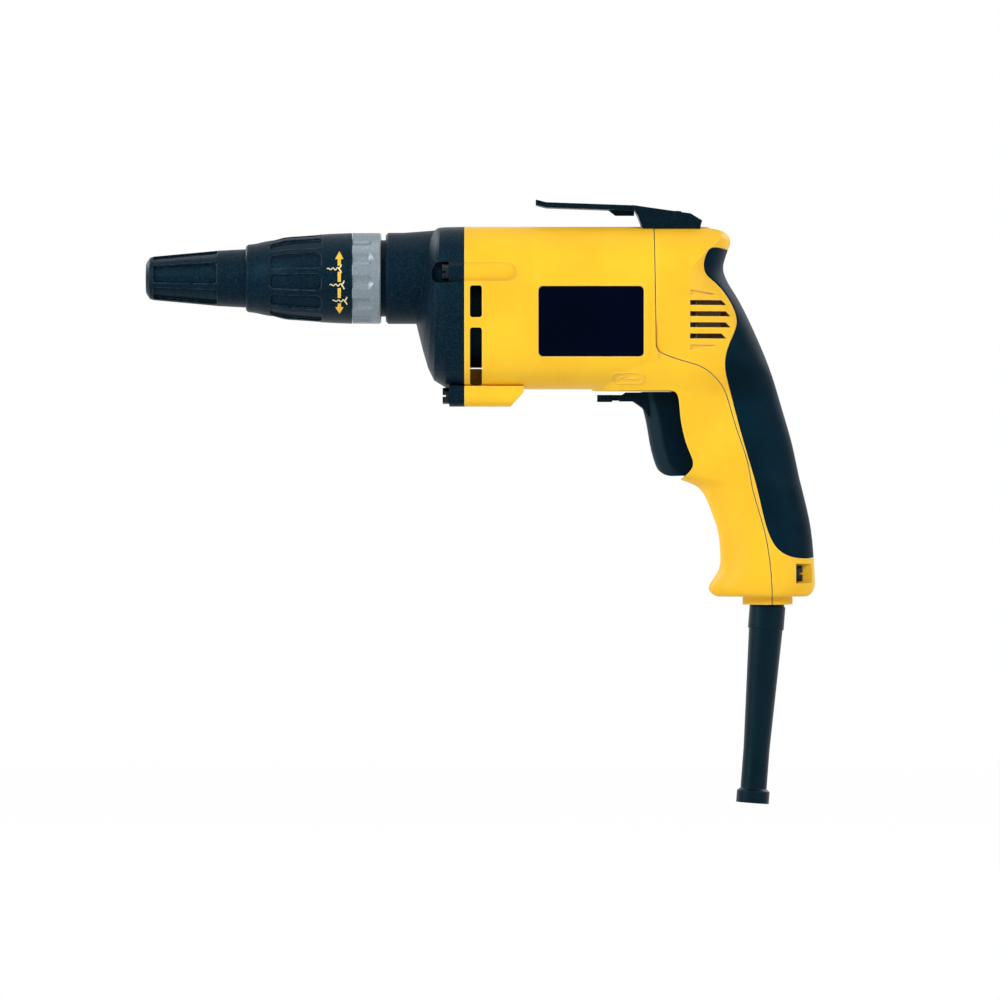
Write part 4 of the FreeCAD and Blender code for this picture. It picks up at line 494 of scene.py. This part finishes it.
class SCREWDRIVER_OT_rubber(bpy.types.Operator):
    """Rubber grip skin, cord boot and the small rubber rings"""
    bl_idname = "screwdriver.rubber"
    bl_label = "Rubber"

    def execute(self, context):
        look = casing_look()
        # Darker rubber: random patches on the grip, and painted shade as the boot's whole colour
        deep = shaded(look.rubber, 0.55)
        grip = moulded("grip_rubber", look.rubber, deep, look.rubber_rub, cool_gloss(0.065),
                       grain=0.8 * look.grain, depth=0.12, roughness=0.52, spread=0.14,
                       edge=2 * look.edge)
        # The boot is a darker copy of the grip rubber: painted shade
        boot = moulded("boot_rubber", deep, shaded(deep, 0.6), look.rubber_rub, cool_gloss(0.17),
                       grain=look.grain, depth=0.12, roughness=0.35, spread=0.14, edge=look.edge)
        finish_nodes(grip, "rear_grip")
        finish_nodes(boot, "cord_boot", "nose_o_ring", "rear_bearing_cup")
        return {"FINISHED"}


class SCREWDRIVER_OT_controls(bpy.types.Operator):
    """Trigger, reversing lever and belt hook"""
    bl_idname = "screwdriver.controls"
    bl_label = "Trigger, lever and hook"

    def execute(self, context):
        # Lever and hook are darker copies of the moulded black: painted shade
        lever = black_material("lever_black", roughness=0.42, depth=0.2, shade=0.7)
        hook = black_material("hook_black", roughness=0.36, depth=0.14, sheen=0.12, shade=0.6)
        finish_nodes(trigger_material(), "trigger")
        finish_nodes(lever, "reverse_lever")
        finish_nodes(hook, "belt_hook")
        return {"FINISHED"}


class SCREWDRIVER_OT_labels(bpy.types.Operator):
    """Bare satin plates in the recesses on both sides"""
    bl_idname = "screwdriver.labels"
    bl_label = "Bare side plates"

    def execute(self, context):
        look = casing_look()
        plate = moulded("label_film", look.label, shaded(look.label, 0.6), look.label_rub,
                        cool_gloss(0.04), grain=0.6 * look.grain, depth=0.04, roughness=0.34,
                        spread=0.08, edge=0.3 * look.edge)
        finish_nodes(plate, "side_labels")
        return {"FINISHED"}


class SCREWDRIVER_OT_fasteners(bpy.types.Operator):
    """Blackened screws"""
    bl_idname = "screwdriver.fasteners"
    bl_label = "Screws"

    def execute(self, context):
        oxide = metal("black_oxide", (0.03, 0.036, 0.042), (0.012, 0.016, 0.02),
                      pitch=0.00025, roughness=0.36, depth=0.15)
        finish_nodes(oxide, "gear_case_screws", "handle_cover_screws", "belt_hook_screw",
                     "cord_clamp_screws")
        return {"FINISHED"}


class SCREWDRIVER_OT_drive(bpy.types.Operator):
    """Bit, holder, spindle, clutch, gears and bearings"""
    bl_idname = "screwdriver.drive"
    bl_label = "Spindle and gears"

    def execute(self, context):
        steel = metal("ground_steel", (0.6, 0.6, 0.61), (0.5, 0.5, 0.51),
                      pitch=0.00006, roughness=0.28, depth=0.03)
        hard = metal("hardened_steel", (0.3, 0.29, 0.28), (0.22, 0.21, 0.205),
                     pitch=0.00006, roughness=0.33, depth=0.05)
        bronze = metal("sintered_bronze", (0.58, 0.38, 0.17), (0.4, 0.25, 0.1),
                       pitch=0.0003, roughness=0.4, depth=0.2)
        cast = metal("cast_aluminium", (0.66, 0.67, 0.68), (0.5, 0.51, 0.52),
                     pitch=0.0009, roughness=0.48, depth=0.3)
        felt = moulded("pressed_felt", (0.36, 0.34, 0.3), (0.24, 0.22, 0.19), (0.45, 0.43, 0.4),
                       gloss(0.1), grain=0.0005, depth=0.6, roughness=0.9, spread=0.1, edge=0.0002)
        finish_nodes(steel, "bit_holder", "bit_magnet", "bit_clip", "spindle", "spindle_bearing",
                     "spindle_circlip", "clutch_spring", "gear_pin", "gear_washer", "front_bearing",
                     "rear_bearing", "trigger_spring", "brush_springs", "armature_shaft")
        finish_nodes(hard, "driver_bit", "drive_gear")
        finish_nodes(bronze, "spindle_bush", "brush_holders")
        finish_nodes(cast, "bearing_plate")
        finish_nodes(felt, "spindle_seal")
        return {"FINISHED"}


class SCREWDRIVER_OT_motor(bpy.types.Operator):
    """Motor windings, cores, brushes, fan, switch and capacitor"""
    bl_idname = "screwdriver.motor"
    bl_label = "Motor and switch"

    def execute(self, context):
        sheets = metal("core_sheets", (0.34, 0.33, 0.32), (0.17, 0.165, 0.16),
                       pitch=0.0005, roughness=0.45, depth=0.5)
        copper = metal("lacquered_copper", (0.62, 0.27, 0.12), (0.38, 0.14, 0.05),
                       pitch=0.0007, roughness=0.3, depth=0.6)
        carbon = moulded("brush_carbon", (0.03, 0.03, 0.032), (0.018, 0.018, 0.02), (0.08, 0.08, 0.08),
                         gloss(0.4), grain=0.0003, depth=0.3, roughness=0.6, spread=0.1, edge=0.0002)
        # Bracket and capacitor colours are made paler to stand in for light that does not reach inside
        # the vents: painted light
        tan_with_painted_light = moulded("fibre_beige", (0.72, 0.6, 0.5), (0.62, 0.5, 0.4), (0.8, 0.7, 0.6),
                      gloss(0.35), grain=0.0006, depth=0.25, roughness=0.5, spread=0.15, edge=0.0004)
        amber_with_painted_light = moulded("capacitor_case", (0.66, 0.55, 0.4), (0.58, 0.46, 0.32), (0.75, 0.66, 0.52),
                        gloss(0.45), grain=0.0005, depth=0.1, roughness=0.35, spread=0.1, edge=0.0004)
        black = black_material("inner_black", roughness=0.5, depth=0.2)
        finish_nodes(sheets, "armature_core", "field_core")
        finish_nodes(copper, "armature_windings", "field_coils", "commutator")
        finish_nodes(carbon, "brushes")
        finish_nodes(tan_with_painted_light, "rear_bearing_bracket")
        finish_nodes(amber_with_painted_light, "suppressor_capacitor")
        finish_nodes(black, "cooling_fan", "air_baffle", "switch_body", "cord_clamp")
        return {"FINISHED"}


# Springs

COIL_STEPS = 32
COIL_SIDES = 12


def mesh_from(built, name, material):
    """Closed mesh of what was built, facing outwards."""
    bmesh.ops.recalc_face_normals(built, faces=built.faces)
    mesh = bpy.data.meshes.new(name)
    built.to_mesh(mesh)
    built.free()
    mesh.materials.append(material)
    return mesh


def shown(name, mesh):
    piece = bpy.data.objects.new(name, mesh)
    bpy.context.scene.collection.objects.link(piece)
    return piece


def coil_mesh(name, low, high, wire, turns, material):
    """A wire wound along X inside a box."""
    radius = (high.z - low.z) / 2 - wire
    pitch = (high.x - low.x - 2 * wire) / turns
    start = Vector((low.x + wire, (low.y + high.y) / 2, (low.z + high.z) / 2))
    built = bmesh.new()
    rings = []
    for step in range(int(turns * COIL_STEPS) + 1):
        turn = step / COIL_STEPS
        angle = 2 * math.pi * turn
        out = Vector((0, math.cos(angle), math.sin(angle)))
        run = Vector((pitch, 2 * math.pi * radius * -out.z, 2 * math.pi * radius * out.y)).normalized()
        side = run.cross(out)
        centre = start + Vector((pitch * turn, 0, 0)) + radius * out
        ring = []
        for number in range(COIL_SIDES):
            around = 2 * math.pi * number / COIL_SIDES
            away = math.cos(around) * out + math.sin(around) * side
            ring.append(built.verts.new(centre + wire * away))
        rings.append(ring)
    for first, second in zip(rings, rings[1:]):
        for a in range(COIL_SIDES):
            b = (a + 1) % COIL_SIDES
            built.faces.new((first[a], first[b], second[b], second[a])).smooth = True
    built.faces.new(rings[0])
    built.faces.new(rings[-1])
    return mesh_from(built, name, material)


class SCREWDRIVER_OT_springs(bpy.types.Operator):
    """Clutch and trigger springs, wound as coils in place of the carried-over springs"""
    bl_idname = "screwdriver.springs"
    bl_label = "Springs"

    def execute(self, context):
        sizes = context.scene.screwdriver_springs
        steel = bpy.data.materials["ground_steel"]
        for node, wire, turns, body, joint in (
                ("clutch_spring", sizes.clutch_wire, sizes.clutch_turns, "gear", "clutch_slide"),
                ("trigger_spring", sizes.trigger_wire, sizes.trigger_turns, "housing", "trigger_pull")):
            low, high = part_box(node)
            name = f"{node}_coil"
            piece = shown(name, coil_mesh(name, low, high, wire, turns, steel))
            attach(piece, body)
            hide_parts(node)
            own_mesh(piece)
        return {"FINISHED"}


# Marks on the surfaces

WELD = 1e-6
ARC_STEPS = 12
# Where the small screws cross the depth arrow, as shares of its shaft from the top, and half a gap there
SCREW_SHARES = (0.2, 0.52, 0.85)
HALF_GAP = 0.16 / 2.6
# How far a small screw's point lies before the arrow, and its step to the next, in screw lengths
SCREW_LEAD = 0.66
SCREW_STEP = 0.19
# Bends of the direction arrow, in shares of its half length and its rise
ARROW_BENDS = ((1.0, -0.3), (-0.2, -0.3), (-0.35, 1.5), (-1.15, -0.6))
ARROW_LENGTH = 0.3
ARROW_RISE = 0.17
ARROW_LINE = 1.1


def surface_of(name):
    mesh = SOLIDS[name].data
    mesh.calc_loop_triangles()
    points = [v.co.copy() for v in mesh.vertices]
    return BVHTree.FromPolygons(points, [t.vertices[:] for t in mesh.loop_triangles])


def band(points, width):
    """Quads of a flat line of even width along a chain of points."""
    half = width / 2
    sides = []
    for i, point in enumerate(points):
        before = Vector(points[max(i - 1, 0)])
        after = Vector(points[min(i + 1, len(points) - 1)])
        run = (after - before).normalized()
        across = Vector((-run.y, run.x)) * half
        sides.append((Vector(point) + across, Vector(point) - across))
    return [(a, b, d, c) for (a, b), (c, d) in zip(sides, sides[1:])]


def mark_mesh(name, outlines, to_surface, body, material, cuts=1):
    """A thin closed film or raised line on a surface; to_surface gives its outer and inner point."""
    built = bmesh.new()
    for outline in outlines:
        built.faces.new([built.verts.new((p[0], p[1], 0)) for p in outline])
    bmesh.ops.remove_doubles(built, verts=built.verts, dist=WELD)
    bmesh.ops.subdivide_edges(built, edges=built.edges[:], cuts=cuts, use_grid_fill=True)
    bmesh.ops.triangulate(built, faces=[f for f in built.faces if len(f.verts) > 4])
    flat = list(built.faces)
    places = {v: to_surface(v.co.x, v.co.y) for v in built.verts}
    lower = {v: built.verts.new(inner) for v, (_, inner) in places.items()}
    walls = [(e.verts[0], e.verts[1]) for e in built.edges if len(e.link_faces) == 1]
    for face in flat:
        built.faces.new([lower[v] for v in reversed(face.verts)])
    for first, second in walls:
        built.faces.new((first, second, lower[second], lower[first]))
    for vert, (outer, _) in places.items():
        vert.co = outer
    piece = shown(name, mesh_from(built, name, material))
    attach(piece, body)


def ink_material(name, colour):
    return moulded(name, colour, shaded(colour, 0.88), colour, gloss(0.3),
                   grain=0.0003, depth=0.1, roughness=0.45, spread=0.1, edge=0.0001)


def arrow_head(centre, tip, base, width):
    return Vector((centre, tip)), Vector((centre + width / 2, base)), Vector((centre - width / 2, base))


def small_screw(tip_x, level, length, line):
    """Wavy shank and splayed head of one small screw, pointing to the nose."""
    steps, waves = 24, 2.5
    shank_share, swing, thin_end = 0.82, 0.1 * length, 0.35
    flare, flare_run, flare_line = 0.3 * length, 0.12 * length, 1.25 * line
    shank = []
    for i in range(steps + 1):
        share = i / steps
        grown = swing * (thin_end + (1 - thin_end) * share)
        shank.append((tip_x + shank_share * share * length,
                      level + grown * math.sin(share * waves * 2 * math.pi)))
    x, y = shank[-1]
    lines = [band(shank, line)]
    for rise in (flare, -flare):
        head = [(x, y), (x + flare_run, y + 0.5 * rise), (tip_x + length, level + rise)]
        lines.append(band(head, flare_line))
    return lines


class SCREWDRIVER_OT_depth_marks(bpy.types.Operator):
    """Printed depth arrow and three small screws on the collar"""
    bl_idname = "screwdriver.depth_marks"
    bl_label = "Depth marks"

    def execute(self, context):
        sizes = context.scene.screwdriver_depth_marks
        surface = surface_of("depth_collar")
        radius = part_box("depth_collar")[1].z

        def on_collar(x, arc):
            angle = arc / radius
            out = Vector((0, -math.cos(angle), math.sin(angle)))
            hit = surface.ray_cast(Vector((x, 0, 0)) + 2 * radius * out, -out)[0]
            if hit is None:
                raise RuntimeError("the depth marks miss the collar")
            return hit + sizes.film * out, hit - sizes.film * out

        middle = sizes.place
        upper = math.radians(sizes.top) * radius
        lower = math.radians(sizes.bottom) * radius
        shaft_top = upper - sizes.head_length
        shaft_low = lower + sizes.head_length
        span = shaft_top - shaft_low
        levels = [shaft_top - share * span for share in SCREW_SHARES]
        ends = [shaft_top]
        for level in levels:
            ends += [level + HALF_GAP * span, level - HALF_GAP * span]
        ends.append(shaft_low)
        arrow = [arrow_head(middle, upper, shaft_top, sizes.head),
                 arrow_head(middle, lower, shaft_low, sizes.head)]
        for start, stop in zip(ends[0::2], ends[1::2]):
            if start - stop > sizes.line:
                line = [(middle, start), (middle, (start + stop) / 2), (middle, stop)]
                arrow += band(line, sizes.shaft)
        ink = ink_material("depth_ink", sizes.ink)
        pale = ink_material("screw_ink", sizes.ink_pale)
        mark_mesh("depth_arrow", arrow, on_collar, "collar", ink, cuts=4)
        for number, level in enumerate(levels):
            tip = middle + ((number - 1) * SCREW_STEP - SCREW_LEAD) * sizes.screw
            for piece, outline in enumerate(small_screw(tip, level, sizes.screw, sizes.line)):
                name = f"depth_screw_{number}_{piece}"
                mark_mesh(name, outline, on_collar, "collar", pale)
        return {"FINISHED"}


class SCREWDRIVER_OT_rotation_mark(bpy.types.Operator):
    """Raised oval with a direction arrow on the side of the body"""
    bl_idname = "screwdriver.rotation_mark"
    bl_label = "Rotation mark"

    def execute(self, context):
        sizes = context.scene.screwdriver_rotation_mark
        surface = surface_of("motor_housing")
        far = 2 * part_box("motor_housing")[0].y

        def on_body(x, z):
            hit, normal, _, _ = surface.ray_cast(Vector((x, far, z)), Vector((0, 1, 0)))
            if hit is None:
                raise RuntimeError("the rotation mark misses the body")
            return hit + sizes.rise * normal, hit - sizes.rise * normal

        centre = Vector((sizes.centre_x, -sizes.drop))
        round_end = sizes.height / 2
        straight = sizes.width / 2 - round_end
        oval = []
        for side in (1, -1):
            for step in range(ARC_STEPS + 1):
                angle = math.radians(side * 90 - 180 * step / ARC_STEPS)
                out = Vector((math.cos(angle), math.sin(angle)))
                oval.append(centre + Vector((side * straight, 0)) + round_end * out)
        oval.append(oval[0])
        half = ARROW_LENGTH * sizes.width
        rise = ARROW_RISE * sizes.height
        bends = [centre + Vector((along * half, up * rise)) for along, up in ARROW_BENDS]
        yellow = bpy.data.materials["casing_yellow"]
        line = band(oval, sizes.line)
        mark_mesh("rotation_oval", line, on_body, "housing", yellow)
        for number, (a, b) in enumerate(zip(bends, bends[1:])):
            line = band([a, (a + b) / 2, b], ARROW_LINE * sizes.line)
            mark_mesh(f"rotation_line_{number}", line, on_body, "housing", yellow)
        return {"FINISHED"}


# Studio, with the lights placed from the point that the camera looks at

LIGHT_ALONG = 1.25
LIGHT_ACROSS = 1.2
LIGHT_UP = 0.85
LIGHT_SIZE = (0.7, 0.7)
BACK_SHARE = 0.5
GLINT_ACROSS = 0.6
GLINT_UP = 0.3
GLINT_SIZE = (0.4, 0.4)
TAIL_GLINT = 0.35
TOP_UP = 1.3
TOP_SIZE = (1.0, 0.5)
FLOOR_HALF = 4.0
FLOOR_GAP = 0.0002
# Distances between which the floor turns from keeping shadows to plain white
SHADOW_REACH = (0.3, 1.0)
FAR_CLIP = 50
WHITE = (1, 1, 1, 1)
FLOOR_GREY = (0.9, 0.9, 0.9, 1)
ROOM_TINT = (0.97, 0.985, 1, 1)


def soft_light(name, aim, offset, size, power):
    lamp = bpy.data.lights.new(name, "AREA")
    lamp.shape = "RECTANGLE"
    lamp.size, lamp.size_y = size
    lamp.energy = power
    light = bpy.data.objects.new(name, lamp)
    light.location = aim + Vector(offset)
    light.rotation_euler = (aim - light.location).to_track_quat("-Z", "Y").to_euler()
    bpy.context.scene.collection.objects.link(light)


def seen_directly(tree):
    """1 for what the camera sees, straight, in gloss or through glass."""
    path = add(tree, "ShaderNodeLightPath").outputs
    mirrored = maths(tree, "MAXIMUM", path["Is Glossy Ray"], path["Is Transmission Ray"])
    return maths(tree, "MAXIMUM", path["Is Camera Ray"], mirrored)


def bare_tree(owner):
    owner.use_nodes = True
    owner.node_tree.nodes.clear()
    return owner.node_tree


def floor_material(tone):
    material = bpy.data.materials.new("studio_floor")
    tree = bare_tree(material)
    matte = add(tree, "ShaderNodeBsdfDiffuse", {"Color": FLOOR_GREY}).outputs[0]
    white = add(tree, "ShaderNodeEmission", {"Color": WHITE, "Strength": 1.0}).outputs[0]
    place = add(tree, "ShaderNodeNewGeometry").outputs["Position"]
    away = add(tree, "ShaderNodeVectorMath", {0: place}, operation="LENGTH").outputs["Value"]
    share = times(tree, seen_directly(tree), spread_to(tree, away, *SHADOW_REACH, 1 - tone, 1.0))
    blend = add(tree, "ShaderNodeMixShader", {0: share, 1: matte, 2: white}).outputs[0]
    add(tree, "ShaderNodeOutputMaterial", {"Surface": blend})
    return material


def white_room(strength):
    """World that shows white and lights the object evenly and weakly."""
    world = bpy.data.worlds.new("white_room")
    tree = bare_tree(world)
    white = add(tree, "ShaderNodeBackground", {"Color": WHITE, "Strength": 1.0}).outputs[0]
    light = add(tree, "ShaderNodeBackground", {"Color": ROOM_TINT, "Strength": strength}).outputs[0]
    blend = add(tree, "ShaderNodeMixShader", {0: seen_directly(tree), 1: light, 2: white}).outputs[0]
    add(tree, "ShaderNodeOutputWorld", {"Surface": blend})
    return world


class SCREWDRIVER_OT_studio(bpy.types.Operator):
    """Camera at the product's side, soft lights, floor and white room"""
    bl_idname = "screwdriver.studio"
    bl_label = "Studio"

    def execute(self, context):
        scene = context.scene
        setup = scene.screwdriver_studio
        scene.view_settings.view_transform = "Standard"
        aim = Vector((setup.look_x, 0, -setup.look_drop))
        lens = bpy.data.cameras.new("side_camera")
        lens.lens = lens.sensor_width * setup.distance / setup.span
        lens.clip_end = FAR_CLIP
        camera = shown("side_camera", lens)
        camera.location = aim - Vector((0, setup.distance, 0))
        camera.rotation_euler = (math.radians(90), 0, 0)
        scene.camera = camera
        low = CAD_BOX[0].z - FLOOR_GAP
        signs = ((-1, -1), (1, -1), (1, 1), (-1, 1))
        corners = [(FLOOR_HALF * x, FLOOR_HALF * y, low) for x, y in signs]
        floor_mesh = bpy.data.meshes.new("floor")
        floor_mesh.from_pydata(corners, [], [(0, 1, 2, 3)])
        floor_mesh.materials.append(floor_material(setup.floor_tone))
        floor = shown("floor", floor_mesh)
        for side, along, power, glint in (("nose", -LIGHT_ALONG, setup.key, 1.0),
                                          ("tail", LIGHT_ALONG, setup.second, TAIL_GLINT)):
            for end, across, share in (("front", -LIGHT_ACROSS, 1.0),
                                       ("back", LIGHT_ACROSS, BACK_SHARE)):
                offset = (along, across, LIGHT_UP)
                soft_light(f"{side}_{end}_light", aim, offset, LIGHT_SIZE, share * power)
            offset = (along, -GLINT_ACROSS, GLINT_UP)
            soft_light(f"{side}_glint", aim, offset, GLINT_SIZE, glint * setup.glint)
        soft_light("top_light", aim, (0, 0, TOP_UP), TOP_SIZE, setup.top)
        scene.world = white_room(setup.room)
        return {"FINISHED"}


OPERATORS = (
    SCREWDRIVER_OT_casing, SCREWDRIVER_OT_nose, SCREWDRIVER_OT_gear_case, SCREWDRIVER_OT_rubber,
    SCREWDRIVER_OT_controls, SCREWDRIVER_OT_labels, SCREWDRIVER_OT_fasteners, SCREWDRIVER_OT_drive,
    SCREWDRIVER_OT_springs, SCREWDRIVER_OT_motor, SCREWDRIVER_OT_depth_marks,
    SCREWDRIVER_OT_rotation_mark, SCREWDRIVER_OT_studio)
SETTINGS = {"screwdriver_casing": CasingFinish, "screwdriver_depth_marks": DepthMarkSizes,
            "screwdriver_rotation_mark": RotationMarkSizes, "screwdriver_springs": SpringSizes,
            "screwdriver_studio": StudioSetup}


class SCREWDRIVER_PT_finishes(bpy.types.Panel):
    """Lists the screwdriver's pieces and its studio"""
    bl_idname = "SCREWDRIVER_PT_finishes"
    bl_label = "Drywall screwdriver"
    bl_space_type = "VIEW_3D"
    bl_region_type = "UI"
    bl_category = "Screwdriver"

    def draw(self, context):
        for kind in OPERATORS:
            self.layout.operator(kind.bl_idname)
        for settings in SETTINGS:
            box = self.layout.box()
            group = getattr(context.scene, settings)
            for name in group.bl_rna.properties.keys():
                if name not in {"rna_type", "name"}:
                    box.prop(group, name)


CLASSES = (*SETTINGS.values(), *OPERATORS, SCREWDRIVER_PT_finishes)


def register():
    for kind in CLASSES:
        bpy.utils.register_class(kind)
    for name, kind in SETTINGS.items():
        setattr(bpy.types.Scene, name, bpy.props.PointerProperty(type=kind))


def unregister():
    for name in SETTINGS:
        delattr(bpy.types.Scene, name)
    for kind in reversed(CLASSES):
        bpy.utils.unregister_class(kind)


def main():
    register()
    for kind in OPERATORS:
        area, action = kind.bl_idname.split(".")
        getattr(getattr(bpy.ops, area), action)()


if __name__ == "__main__":
    main()
